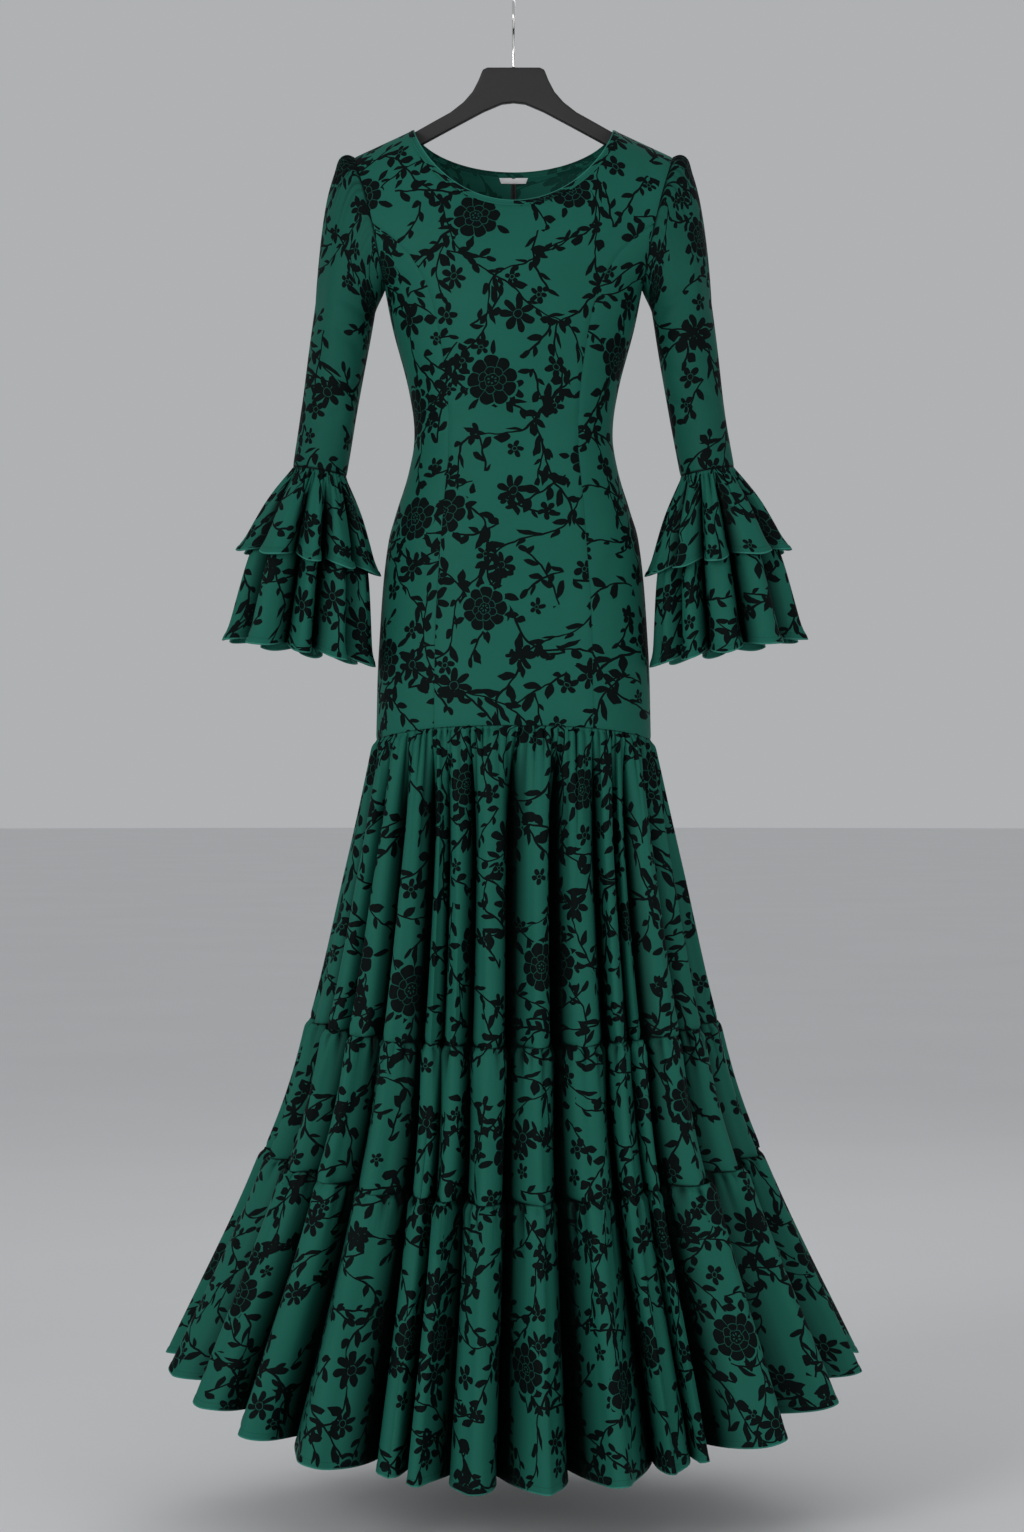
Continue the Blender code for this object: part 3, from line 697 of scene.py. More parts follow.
def vine(board, place, angle, pitch, sway, wave, period, leaf):
    """Long stems that sway from side to side as they climb, with leaves."""
    x, y, _ = board.split(place)
    across = x * cos(angle) + y * sin(angle)
    along = y * cos(angle) - x * sin(angle)
    lane = board.maths("FLOOR", across / pitch)
    chance = board.node("ShaderNodeTexWhiteNoise", {"noise_dimensions": "1D"}, {"W": lane + angle})
    start = Signal(board, chance.outputs["Value"]) * (2 * pi)
    middle = board.maths("SINE", along * (2 * pi / wave) + start) * sway
    middle = middle + board.maths("SINE", along * (2 * pi / (0.41 * wave)) + 2 * start) * (0.3 * sway)
    off = across - (lane + 0.5) * pitch - middle
    stem = abs(off) < 0.00120
    shift = along + start * 0.01
    return board.either(stem, leaves(board, shift, off, period, leaf, leaf * 0.20, radians(44), start))


def sprigs(board, place, size, half_length, period, leaf):
    """Short bent twigs with leaves and a bud at the tip, one in each cell."""
    x, y, first, second = scatter(board, place, size, 0.45)
    bend = (first - 0.5) * 22.0
    off = y - bend * x * x + 0.004
    inside = abs(x) < half_length
    stem = abs(off) < 0.0009 + 0.0004 * second
    leafy = leaves(board, x, off, period, leaf, leaf * 0.21, radians(47), first)
    tip = ((x - half_length - 0.003) / 0.0055) ** 2.0 + (off / 0.0030) ** 2.0 < 1.0
    return board.either(board.either(stem, leafy) * inside, tip)


def blossoms(board, place, size, radius, petals, jitter=0.75):
    """Small open flowers with separate round petals and a pale eye."""
    x, y, first, second = scatter(board, place, size, jitter)
    far, angle = polar(board, x, y)
    reach = radius * (0.72 + 0.45 * first)
    lobe = abs(board.maths("COSINE", angle * (petals / 2))) ** 0.7
    edge = reach * (0.22 + 0.78 * lobe)
    body = (far < edge) * (second > 0.3)
    eye = abs(far - reach * 0.24) < 0.00035
    return body * (1 - 0.7 * eye)


def roses(board, place, size, radius):
    """Full roses: the black shape, the clear ground round it, and the fine lines inside."""
    x, y, first, second = scatter(board, place, size, 0.62)
    far, angle = polar(board, x, y)
    reach = radius * (0.86 + 0.26 * first)
    outer = abs(board.maths("SINE", angle * 4.5)) ** 0.5
    edge = reach * (0.80 + 0.20 * outer)
    shape = far < edge
    ground = far > edge + 0.0028
    inner = abs(board.maths("SINE", angle * 3.5 + 1.1)) ** 0.6
    ring = reach * (0.46 + 0.10 * inner)
    core = abs(board.maths("SINE", angle * 2.5 + 0.4)) ** 0.6
    heart = reach * (0.22 + 0.06 * core)
    clefts = (far * abs(board.maths("SINE", angle * 4.5)) < 0.0017) * (far > ring)
    folds = (far * abs(board.maths("SINE", angle * 3.5 + 1.1)) < 0.0012) * (far > heart) * (far < ring)
    rings = board.either(abs(far - ring) < 0.00042, abs(far - heart) < 0.00038)
    sector = board.maths("FRACT", angle * (5 / (2 * pi)) + second) - 0.5
    t = (far - edge * 1.02) / (reach * (0.50 + 0.35 * second))
    spray = abs(far * sector) * (2 * pi / 5) < t * (1 - t) * (4 * 0.0036)
    seeds = (abs(far - reach * 0.12) < 0.0011) * (board.maths("SINE", angle * 6.0) > 0.2)
    return board.either(shape, spray), ground, board.either(clefts, folds, rings, seeds) * shape


MIDDLE_GREY = (0.5, 0.5, 0.5)


def floral(board, place):
    """The whole print: 1 where it is black, less on the fine lines."""
    wobble = board.noise(place, 55.0, 1.0).outputs["Color"]
    shift = board.vector("SUBTRACT", wobble, MIDDLE_GREY)
    shift = board.vector("MULTIPLY", shift, (0.007, 0.007, 0.0))
    place = board.vector("ADD", place, shift)
    sweep = board.noise(place, 5.5, 0.0).outputs["Color"]
    swept = board.vector("SUBTRACT", sweep, MIDDLE_GREY)
    swept = board.vector("MULTIPLY", swept, (0.070, 0.070, 0.0))
    swept = board.vector("ADD", place, swept)
    shape, ground, lines = roses(board, place, 0.150, 0.0255)
    climbing = vine(board, swept, radians(38), 0.092, 0.018, 0.20, 0.0130, 0.0190)
    crossing = vine(board, swept, radians(-44), 0.112, 0.020, 0.24, 0.0140, 0.0205)
    moved = board.vector("ADD", place, (0.31, 0.17, 0.0))
    twigs = sprigs(board, moved, 0.069, 0.023, 0.0118, 0.0172)
    moved = board.vector("ADD", place, (0.77, 0.61, 0.0))
    twigs = board.either(twigs, sprigs(board, moved, 0.108, 0.034, 0.0140, 0.0205))
    small = blossoms(board, board.vector("ADD", place, (0.07, 0.43, 0.0)), 0.058, 0.0108, 5)
    middle = blossoms(board, board.vector("ADD", place, (0.53, 0.09, 0.0)), 0.100, 0.0185, 7, 0.6)
    light = board.either(climbing, crossing, twigs, small, middle) * ground
    return board.either(light, shape * (1 - 0.55 * lines))


print("motifs ready")

# %% The printed crepe
GREEN = (0.0098, 0.0980, 0.0700, 1.0)
GREEN_WORN = (0.0140, 0.1210, 0.0890, 1.0)
BLACK = (0.0016, 0.0040, 0.0040, 1.0)
WRONG_SIDE = (0.0120, 0.1120, 0.0820, 1.0)
# Painted highlight: a pale colour along rolled hem edges, for the light they catch.
HEM_HIGHLIGHT = (0.0420, 0.2300, 0.1800, 1.0)
# Painted shade: the near-black that hollows, gathers, seams and sleeves are darkened towards.
PAINTED_SHADE_COLOUR = (0.0006, 0.0022, 0.0020, 1.0)
THREAD = (0.004, 0.030, 0.022, 1.0)
SLUB_SCALE = (60.0, 900.0, 0.0)
GATHER_LINES_SCALE = (230.0, 14.0, 0.0)
SHADE_START = 0.17
SHADE_GAIN = 2.5
SHADE_MOST = 0.96
# Width of the painted highlight along hem edges.
HEM_HIGHLIGHT_WIDTH = 0.0015


def printed_crepe():
    """Dark emerald crepe with its floral print, stitching and fine gathers, with painted shade and a
    painted highlight on hem edges.
    """
    board = Board("printed crepe")
    place = board.node("ShaderNodeUVMap", {"uv_map": "print"}).outputs[0]
    gather = board.attribute("gather")
    stitch_and_highlight = board.attribute("stitch_and_highlight")
    inside = board.attribute("inside")
    depth_and_painted_shade = board.attribute("depth_and_painted_shade")
    print_mask = floral(board, place)
    tone = board.grain(place, 9.0, 3.0)
    slub = board.grain(board.vector("MULTIPLY", place, SLUB_SCALE), 1.0, 2.0)
    ground = board.blend(tone * 0.9 + slub * 0.25, GREEN, GREEN_WORN)
    ground = board.blend(inside, ground, WRONG_SIDE)
    print_share = print_mask * (1 - 0.45 * inside)
    u, v, _ = board.split(place)
    thread = (abs(stitch_and_highlight - HEM_DEPTH) < 0.00035) * (board.maths("SINE", (u + v) * (2 * pi / 0.0028)) > -0.4)
    colour = board.blend(print_share, ground, BLACK)
    colour = board.blend(thread * 0.55, colour, THREAD)
    # Painted highlight along the hems of the flounces and the skirt and along the front neck edge.
    colour = board.blend((stitch_and_highlight < HEM_HIGHLIGHT_WIDTH) * 0.65, colour, HEM_HIGHLIGHT)
    # Painted shade: the shade number kept on each point blends the cloth towards near-black.
    shadow = board.maths("MAXIMUM", depth_and_painted_shade - SHADE_START, 0.0) * SHADE_GAIN
    shadow = board.maths("MINIMUM", shadow, SHADE_MOST)
    colour = board.blend(shadow, colour, PAINTED_SHADE_COLOUR)
    crepe = board.grain(place, 1500.0, 1.0)
    lines = board.grain(board.vector("MULTIPLY", place, GATHER_LINES_SCALE), 1.0, 1.0)
    height = crepe * 0.00010 + lines * gather * 0.0022
    bump = board.bump(height, 0.75)
    return board.finish({
        "Base Color": colour,
        "Roughness": 0.62 + 0.10 * print_share - 0.06 * tone,
        "Normal": bump,
        "Specular IOR Level": 0.06,
    })


CREPE = printed_crepe()
print("nodes in the crepe:", len(CREPE.node_tree.nodes))
# %% [markdown]
# ## The bodice
# A fitted bodice is five panels: a centre front, two side fronts that curve in
# from the armhole over the bust, and two backs that meet at the zip. Each is
# cut flat and takes its form from its curved seams. Here each panel is a sheet
# on its own part of the form, a hair from its neighbour, sinking into the seam
# they share, with the few long creases that a fitted waist and an armhole give.

# %% Columns and rows of the panels
NECK_COLUMNS = np.radians(np.concatenate([np.linspace(0, 80, 34), np.linspace(82, 90, 8)]))
SHOULDER_COLUMNS = np.linspace(0, 1, 17)[1:]
UPPER_ROWS = np.linspace(0, 1, 34) ** 1.25
LOWER_ROWS = spaced(1.0, 0.0105, 0.0040, 0.020)
SIDE_COLUMNS = np.linspace(0, 1, 26)


def upper_columns(back):
    """Columns of half the front or back: share of a quarter turn above and below, and top."""
    x, z = neck_place(pi - NECK_COLUMNS if back else NECK_COLUMNS, BAND_WIDTH)
    angle = np.arcsin((x / smooth(BODICE, "half_width", z)) ** (OVAL / 2))
    tops = angle / (pi / 2)
    over = tops[-1] + (1 - tops[-1]) * SHOULDER_COLUMNS
    tops = np.concatenate([tops, over])
    z = np.concatenate([z, shoulder_column_z(over * pi / 2)])
    shares = np.concatenate([NECK_COLUMNS / (pi / 2) * (5 / 8), 5 / 8 + SHOULDER_COLUMNS * 3 / 8])
    return tops, shares, z


def panel(top_share, share, top_z, angle_at, back, upper=True):
    """The grid of one panel from its columns."""
    rows = []
    if upper:
        for part in UPPER_ROWS[:-1]:
            at = top_share + (share - top_share) * part
            rows.append((at, top_z + (PRINCESS_TOP_Z - top_z) * part))
    foot = angle_at(share, np.full(share.shape, HIP_SIDE_Z))
    foot_z = HIP_SIDE_Z + (HIP_CENTRE_Z - HIP_SIDE_Z) * np.abs(np.cos(foot)) ** DIP_POWER
    for part in LOWER_ROWS:
        rows.append((share, PRINCESS_TOP_Z + (foot_z - PRINCESS_TOP_Z) * part))
    grid = []
    for at, z in rows:
        x = smooth(BODICE, "half_width", z) * signed_power(np.sin(angle_at(at, z)), 2 / OVAL)
        grid.append(on_bodice(x, z, back))
    return np.array(grid)


print("rows:", len(UPPER_ROWS) + len(LOWER_ROWS))

# %% Creases of the bodice
FRONT_CREASES = [
    Crease(0.126, -0.300, 0.085, -0.262, 0.0050, -0.0010),
    Crease(-0.127, -0.296, -0.088, -0.268, 0.0055, -0.0011),
    Crease(0.118, -0.345, 0.082, -0.330, 0.0060, 0.0009),
    Crease(0.102, -0.448, 0.060, -0.470, 0.0055, -0.0012),
    Crease(0.104, -0.486, 0.066, -0.498, 0.0050, -0.0011),
    Crease(-0.103, -0.452, -0.062, -0.462, 0.0050, -0.0012),
    Crease(-0.105, -0.494, -0.058, -0.512, 0.0060, -0.0011),
    Crease(0.100, -0.468, 0.055, -0.484, 0.0060, 0.0010),
    Crease(-0.100, -0.474, -0.056, -0.484, 0.0060, 0.0010),
    Crease(-0.050, -0.360, -0.030, -0.470, 0.0120, -0.0008),
    Crease(0.040, -0.350, 0.020, -0.480, 0.0140, -0.0008),
    Crease(0.128, -0.560, 0.100, -0.640, 0.0090, -0.0011),
    Crease(-0.128, -0.566, -0.106, -0.660, 0.0100, -0.0010),
    Crease(-0.020, -0.560, -0.034, -0.700, 0.0150, -0.0008),
    Crease(0.050, -0.600, 0.060, -0.740, 0.0140, -0.0008),
    Crease(0.150, -0.180, 0.135, -0.235, 0.0070, -0.0010),
    Crease(-0.152, -0.185, -0.136, -0.240, 0.0070, -0.0010),
]
BACK_CREASES = [
    Crease(0.130, -0.300, 0.060, -0.285, 0.0090, -0.0014),
    Crease(-0.130, -0.305, -0.066, -0.280, 0.0090, -0.0014),
    Crease(0.104, -0.452, 0.030, -0.462, 0.0075, -0.0016),
    Crease(-0.104, -0.450, -0.034, -0.470, 0.0075, -0.0016),
    Crease(0.106, -0.480, 0.040, -0.492, 0.0070, -0.0015),
    Crease(-0.106, -0.484, -0.044, -0.488, 0.0070, -0.0015),
    Crease(0.100, -0.466, 0.040, -0.477, 0.0070, 0.0012),
    Crease(-0.100, -0.467, -0.044, -0.479, 0.0070, 0.0012),
    Crease(0.070, -0.520, 0.090, -0.680, 0.0150, -0.0012),
    Crease(-0.070, -0.520, -0.088, -0.700, 0.0150, -0.0012),
]
print("creases:", len(FRONT_CREASES) + len(BACK_CREASES))

# %% Cutting the panels
def panel_relief(grid, creases):
    """Sinks a panel into the seams round it and adds its creases."""
    down = down_columns(grid)
    across = along_rows(grid)
    edges = (down, down[-1:] - down, across, across[:, -1:] - across)
    relief = crease_relief(creases, grid[..., 0], grid[..., 2])
    for distance in edges:
        relief = relief + sink(distance)
    fade = np.clip(np.minimum.reduce(edges) / 0.012, 0, 1)
    pucker = np.sin(grid[..., 2] * 560 + 2 * np.sin(grid[..., 2] * 90)) * 0.00012
    near_side = np.exp(-np.minimum(edges[2], edges[3]) / 0.006)
    return relief + pucker * near_side * fade


def make_panel(name, node, grid, creases, shift):
    """One panel, in place of its node."""
    shaped = raised(grid, panel_relief(grid, creases), False)
    across = along_rows(grid)
    seam = np.minimum(across, across[:, -1:] - across)
    # Painted shade along the seams at the panel's two sides.
    depth_and_painted_shade = 0.26 * np.exp(-((seam / 0.0016) ** 2))
    piece = cloth(name, shaped, CREPE, shift=shift, depth_and_painted_shade=depth_and_painted_shade)
    wear(piece, node, shaped, False)
    return piece


tops, shares, top_z = upper_columns(False)
front_tops = np.concatenate([-tops[:0:-1], tops])
front_shares = np.concatenate([-shares[:0:-1], shares])
front_z = np.concatenate([top_z[:0:-1], top_z])


def front_angle(share, z):
    return share * np.where(z > PRINCESS_TOP_Z, pi / 2, princess_angle(z))


def side_angle(share, z):
    return princess_angle(z) + (pi / 2 - princess_angle(z)) * share


front_grid = panel(front_tops, front_shares, front_z, front_angle, False)
make_panel("front_panel", "bodice_front", front_grid, FRONT_CREASES, (0.0, 0.0))
side_z = np.full(SIDE_COLUMNS.shape, PRINCESS_TOP_Z)
for hand, sign, shift in (("right", 1, (0.42, 0.31)), ("left", -1, (0.87, 0.11))):
    side_grid = panel(
        SIDE_COLUMNS, SIDE_COLUMNS, side_z, lambda share, z: sign * side_angle(share, z), False, False
    )
    make_panel(f"side_panel_{hand}", f"bodice_side_{hand}", side_grid, FRONT_CREASES, shift)
back_tops, back_shares, back_z = upper_columns(True)
centre_back = None
for hand, sign, shift in (("right", 1, (1.33, 0.57)), ("left", -1, (1.71, 0.93))):
    back_grid = panel(
        back_tops, back_shares, back_z, lambda share, z: pi - sign * share * pi / 2, True
    )
    make_panel(f"back_panel_{hand}", f"bodice_back_{hand}", back_grid, BACK_CREASES, shift)
    centre_back = back_grid[:, 0]

# %% [markdown]
# ## The neck band
# The neck edge is a narrow turned band: the cloth is rolled over and stitched
# down, so the edge is round, and a line of stitching runs just inside the seam.
# Along the front, the light that the rolled edge catches is painted on as a
# pale highlight. It is a ring of the same cloth on the same form, a little
# fuller in its middle.

# %% The neck band
quarter = NECK_COLUMNS[:-1]
band_turns = np.concatenate([
    quarter, (pi - NECK_COLUMNS[:0:-1]), pi + quarter, 2 * pi - NECK_COLUMNS[:0:-1],
])
band_rows = []
BAND_OVERLAP = 0.0008
for offset in np.linspace(0.0002, BAND_WIDTH + BAND_OVERLAP, 9):
    x, z = neck_place(band_turns, offset)
    behind = np.cos(band_turns) < 0
    band_rows.append(np.where(behind[:, None], on_bodice(x, z, True), on_bodice(x, z, False)))
band_grid = np.array(band_rows)
band_down = down_columns(band_grid)
band_share = band_down / band_down[-1:]
band_full = 0.0007 * np.sin(pi * band_share) ** 0.6 - 0.0003
band_full = band_full - 0.0005 * np.exp(-(((band_down - 0.0046) / 0.0005) ** 2))
band_grid = raised(band_grid, band_full, True)
# Along the front the rolled edge gets the painted highlight.
rolled_and_highlighted = (band_down < 0.0011) & (np.cos(band_turns) > 0)
band_stitch_and_highlight = np.where(rolled_and_highlighted, 0.0, band_down + 0.0029)
band = cloth("neck_edge", band_grid, CREPE, closed=True, shift=(2.1, 0.2), stitch_and_highlight=band_stitch_and_highlight)
wear(band, "neck_band", band_grid, True)

# %% [markdown]
# ## Label and zip
# A blank satin label is sewn under the band at the centre back, and the
# concealed zip runs down the inside of the seam below it. The label is a folded
# strip with pressed edges. The zip is two narrow tapes with the coil between
# them, closed as it hangs; its slider, hidden under the tapes, is not made.

# %% Plain materials for the trims
def woven_white():
    """White satin ribbon."""
    board = Board("woven label")
    place = board.node("ShaderNodeTexCoord").outputs["Object"]
    weave = board.vector("MULTIPLY", place, (9000.0, 2500.0, 9000.0))
    height = board.grain(weave, 1.0, 1.0)
    bump = board.bump(height, 0.5, 0.0002)
    tint = board.blend(height * 0.4, (0.95, 0.94, 0.95, 1.0), (0.84, 0.83, 0.86, 1.0))
    return board.finish({"Base Color": tint, "Roughness": 0.45, "Normal": bump})


def zip_tape():
    """Near-black tape with a nylon coil."""
    board = Board("zip tape")
    place = board.node("ShaderNodeTexCoord").outputs["Object"]
    x, _, z = board.split(place)
    coil = board.maths("SINE", z * (2 * pi / 0.0014)) * (abs(x) < 0.0011)
    weave = board.grain(place, 2600.0, 1.0)
    height = coil * 0.0003 + weave * 0.0001
    bump = board.bump(height, 0.8)
    shade = board.blend(coil * 0.5 + 0.3, (0.003, 0.004, 0.004, 1.0), (0.010, 0.012, 0.012, 1.0))
    return board.finish({"Base Color": shade, "Roughness": 0.5, "Normal": bump})


print("trims' materials ready")

# %% The label
LABEL_TOP_HALF = 0.0162
LABEL_FOOT_HALF = 0.0137
LABEL_TOP_Z = BACK_NECK_Z - BAND_WIDTH - 0.0008
LABEL_FOOT_Z = LABEL_TOP_Z - 0.0062
INSIDE_STEP = 0.0021


def inside_back(z):
    """How far back the inside of the centre back seam is at a height."""
    heights = centre_back[::-1, 2]
    return np.interp(z, heights, centre_back[::-1, 1]) - INSIDE_STEP


def ready_to_model():
    """Nothing selected, in object mode."""
    if bpy.context.object and bpy.context.object.mode != "OBJECT":
        bpy.ops.object.mode_set(mode="OBJECT")
    bpy.ops.object.select_all(action="DESELECT")


def settle(name, material, node):
    """Names a modelled piece, applies its place, and stands it in for its node."""
    piece = bpy.context.object
    piece.name = name
    piece.data.name = name
    bpy.ops.object.transform_apply(location=True, rotation=True, scale=True)
    piece.data.materials.clear()
    piece.data.materials.append(material)
    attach(piece, "root")
    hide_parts(node)
    made.append(piece)
    return piece


ready_to_model()
bpy.ops.mesh.primitive_grid_add(x_subdivisions=16, y_subdivisions=6, size=1.0)
label = bpy.context.object
for corner in label.data.vertices:
    share = corner.co.y + 0.5
    half = LABEL_FOOT_HALF + (LABEL_TOP_HALF - LABEL_FOOT_HALF) * share
    z = LABEL_FOOT_Z + (LABEL_TOP_Z - LABEL_FOOT_Z) * share
    bow = 0.0003 * cos(pi * corner.co.x) * sin(pi * share)
    corner.co = (2 * half * corner.co.x, float(inside_back(z)) - bow, z)
solid = label.modifiers.new("fold", "SOLIDIFY")
solid.thickness = 0.0007
solid.offset = 0.0
bevel = label.modifiers.new("pressed edges", "BEVEL")
bevel.width = 0.0002
bevel.segments = 2
for step in list(label.modifiers):
    bpy.ops.object.modifier_apply(modifier=step.name)
bpy.ops.object.shade_smooth_by_angle(angle=radians(35))
settle("label_ribbon", woven_white(), "label")
print("label", [round(v, 4) for v in label.dimensions])

# %% The zip
ZIP_HALF = 0.003
ZIP_TOP_Z = LABEL_FOOT_Z - 0.0003
ZIP_FOOT_Z = -0.690
ZIP_PROFILE = ((-1.0, 0.0), (-0.40, 0.0), (-0.34, 0.0006), (-0.1, 0.0010), (0.0, 0.0007))
ready_to_model()
bpy.ops.mesh.primitive_grid_add(x_subdivisions=8, y_subdivisions=120, size=1.0)
tape = bpy.context.object
shape = list(ZIP_PROFILE) + [(-x, y) for x, y in ZIP_PROFILE[-2::-1]]
for corner in tape.data.vertices:
    x, forward = shape[round((corner.co.x + 0.5) * 8)]
    z = ZIP_FOOT_Z + (ZIP_TOP_Z - ZIP_FOOT_Z) * (corner.co.y + 0.5)
    corner.co = (x * ZIP_HALF, float(inside_back(z)) - forward * 0.6, z)
solid = tape.modifiers.new("thickness", "SOLIDIFY")
solid.thickness = 0.0005
solid.offset = 0.0
bpy.ops.object.modifier_apply(modifier=solid.name)
bpy.ops.object.shade_smooth_by_angle(angle=radians(40))
settle("zip_tapes", zip_tape(), "zip_strip")
print("zip", round(ZIP_TOP_Z - ZIP_FOOT_Z, 3), "m")

# %% [markdown]
# ## The sleeves
# A set-in sleeve leaves the armhole outwards, its head eased into small puckers
# along the top of the seam, and then falls under its own weight. It bends a
# little at the elbow, where a hanging sleeve keeps a few slanting creases.

# %% The sleeve's form
ARMHOLE_GAP = 0.0004
ARMHOLE_TUCK = 0.0022
# Painted shade given to all of both sleeves.
SLEEVE_SHADE = 0.245
SLEEVE_COLUMNS = 210
CAP_ROWS = spaced(1.0, 0.036, 0.016, 0.07)[:-1]
ARM_ROWS = np.linspace(0, 1, 62)


def oval_ring(x, y, z, half_width, half_depth, turn):
    """Points of a ring square to the sleeve's line: turn 0 is next to the body."""
    across = -np.cos(turn) * half_width
    return np.stack([x + across, y - np.sin(turn) * half_depth, z + across * SLEEVE_LEAN], -1)


def armhole(turn):
    """Points of the right armhole: turn 0 under the arm, a half turn at the shoulder."""
    tip = shoulder_column_z(np.array(pi / 2))
    z = UNDERARM_Z + (tip - UNDERARM_Z) * (1 - np.cos(turn)) / 2
    x = smooth(BODICE, "half_width", z)
    behind = np.sin(turn) < 0
    place = np.where(behind[:, None], on_bodice(x, z, True), on_bodice(x, z, False))
    return place + (ARMHOLE_GAP, 0.0, 0.0)


def sleeve_head(turn, t):
    """The sleeve's head leaves the armhole outwards and falls into the first ring."""
    top = ((1 - np.cos(turn)) / 2)[:, None]
    end = oval_ring(*SLEEVE[0], turn)
    leave = CAP_UNDER_PULL + (CAP_TOP_PULL - CAP_UNDER_PULL) * top
    arrive = CAP_UNDER_DROP + (CAP_TOP_DROP - CAP_UNDER_DROP) * top
    tuck = (-ARMHOLE_TUCK * exp(-t / 0.02), 0.0, 0.0)
    start = (armhole(turn) + tuck) * (1 + 2 * t) + leave * t
    return start * (1 - t) ** 2 + (end * (3 - 2 * t) + arrive * (t - 1)) * t * t


def sleeve_grid():
    """Rings from the armhole to the cuff seam."""
    turn = 2 * pi * np.arange(SLEEVE_COLUMNS) / SLEEVE_COLUMNS
    rings = [sleeve_head(turn, t) for t in CAP_ROWS]
    for share in ARM_ROWS:
        level = 3 * share
        rings.append(oval_ring(*(float(between(SLEEVE, key, level)) for key in Cuff._fields), turn))
    return np.array(rings), turn


arm_grid, arm_turn = sleeve_grid()
print("sleeve rows:", len(arm_grid))

# %% Creases of the sleeve, by turn round it and height
SLEEVE_CREASES = {
    "right": [
        Crease(0.6, -0.345, 1.9, -0.320, 0.006, -0.0020),
        Crease(0.5, -0.372, 1.6, -0.352, 0.006, -0.0018),
        Crease(0.9, -0.415, 2.2, -0.440, 0.006, -0.0017),
        Crease(0.4, -0.440, 1.5, -0.462, 0.007, -0.0018),
        Crease(1.3, -0.470, 2.7, -0.452, 0.006, 0.0012),
        Crease(2.0, -0.240, 2.6, -0.330, 0.010, -0.0015),
        Crease(4.2, -0.350, 5.6, -0.330, 0.007, -0.0020),
        Crease(4.0, -0.420, 5.5, -0.440, 0.007, -0.0020),
        Crease(4.4, -0.455, 5.8, -0.446, 0.007, 0.0015),
    ],
    "left": [
        Crease(0.5, -0.350, 1.8, -0.328, 0.006, -0.0020),
        Crease(0.7, -0.385, 1.7, -0.362, 0.007, -0.0017),
        Crease(0.6, -0.428, 2.0, -0.445, 0.006, -0.0018),
        Crease(1.1, -0.455, 2.4, -0.478, 0.007, -0.0016),
        Crease(2.1, -0.250, 2.7, -0.345, 0.010, -0.0014),
        Crease(4.1, -0.345, 5.5, -0.332, 0.007, -0.0020),
        Crease(4.2, -0.428, 5.6, -0.440, 0.007, -0.0019),
        Crease(4.3, -0.462, 5.7, -0.450, 0.007, 0.0014),
    ],
}
TURN_LENGTH = 0.036


def mirrored(grid):
    """The same grid on the other side."""
    return grid * (-1.0, 1.0, 1.0)


def make_sleeve(hand, seed):
    """One sleeve with its puckered head."""
    down = down_columns(arm_grid)
    foot = down[-1:] - down
    head = ((1 - np.cos(arm_turn)) / 2) ** 2
    place = arm_turn / (2 * pi)
    pucker = gathers(place, down, 46, 0.0044, 0.030, seed) * head
    puff = 0.0036 * np.exp(-(((down - 0.013) / 0.011) ** 2)) * head**2
    relief = sink(foot, 0.0006) + pucker + puff
    creases = [c._replace(x0=c.x0 * TURN_LENGTH, x1=c.x1 * TURN_LENGTH) for c in SLEEVE_CREASES[hand]]
    turn = np.broadcast_to(arm_turn * TURN_LENGTH, down.shape)
    relief = relief + crease_relief(creases, turn, arm_grid[..., 2])
    random = np.random.default_rng(seed)
    for waves in (2, 3, 5):
        phase = random.uniform(0, 2 * pi, 2)
        drift = np.sin(waves * arm_turn + phase[0] + 14 * down + 2 * np.sin(9 * down + phase[1]))
        relief = relief + 0.0011 / waves * drift * np.clip(np.minimum(down, foot) / 0.06, 0, 1)
    grid = raised(arm_grid, relief, True)
    if hand == "left":
        grid = mirrored(grid)
    shift = (2.63, 0.41) if hand == "right" else (3.07, 0.83)
    gather = head * np.exp(-down / 0.014) * 0.6
    # Painted shade: both whole sleeves a little darker, more in the puckers of the head, and along the
    # armhole and cuff seams.
    depth_and_painted_shade = SLEEVE_SHADE - pucker * 70 + 0.4 * np.exp(-((down / 0.002) ** 2))
    depth_and_painted_shade = depth_and_painted_shade + 0.5 * np.exp(-((foot / 0.0015) ** 2))
    piece = cloth(f"sleeve_cloth_{hand}", grid, CREPE, True, None, shift, gather, None, depth_and_painted_shade)
    wear(piece, f"sleeve_{hand}", grid, True)


make_sleeve("right", 11)
make_sleeve("left", 12)

# %% [markdown]
# ## The flounces
# A flounce is a strip, or a part of a ring, whose upper edge is gathered into
# the cuff seam. Near the seam it stands in fine gathers; lower down they join
# into a few round folds with narrow hollows between them, and the stitched hem
# follows the folds in and out. The lower flounce hangs inside the upper one.

# %% Round folds
def fold_shape(folds, fold, share, seed):
    """For a fold of depth 1: how far it stands out or in, how far its hollow leans, and its painted shade.
    """
    crown = np.sin(pi * share) ** FOLD_FULLNESS
    depth = column_of(folds, "depth", fold)
    hollow = depth + (column_of(folds, "depth", fold, 1) - depth) * share
    leans = np.random.default_rng(seed).uniform(-HOLLOW_LEAN, HOLLOW_LEAN, len(folds))
    lean = leans[fold] + (leans[(fold + 1) % len(folds)] - leans[fold]) * share
    out = column_of(folds, "rise", fold) * crown - HOLLOW_DEPTH * hollow * (1 - crown)
    return out, lean * (1 - crown), hollow * (1 - crown)


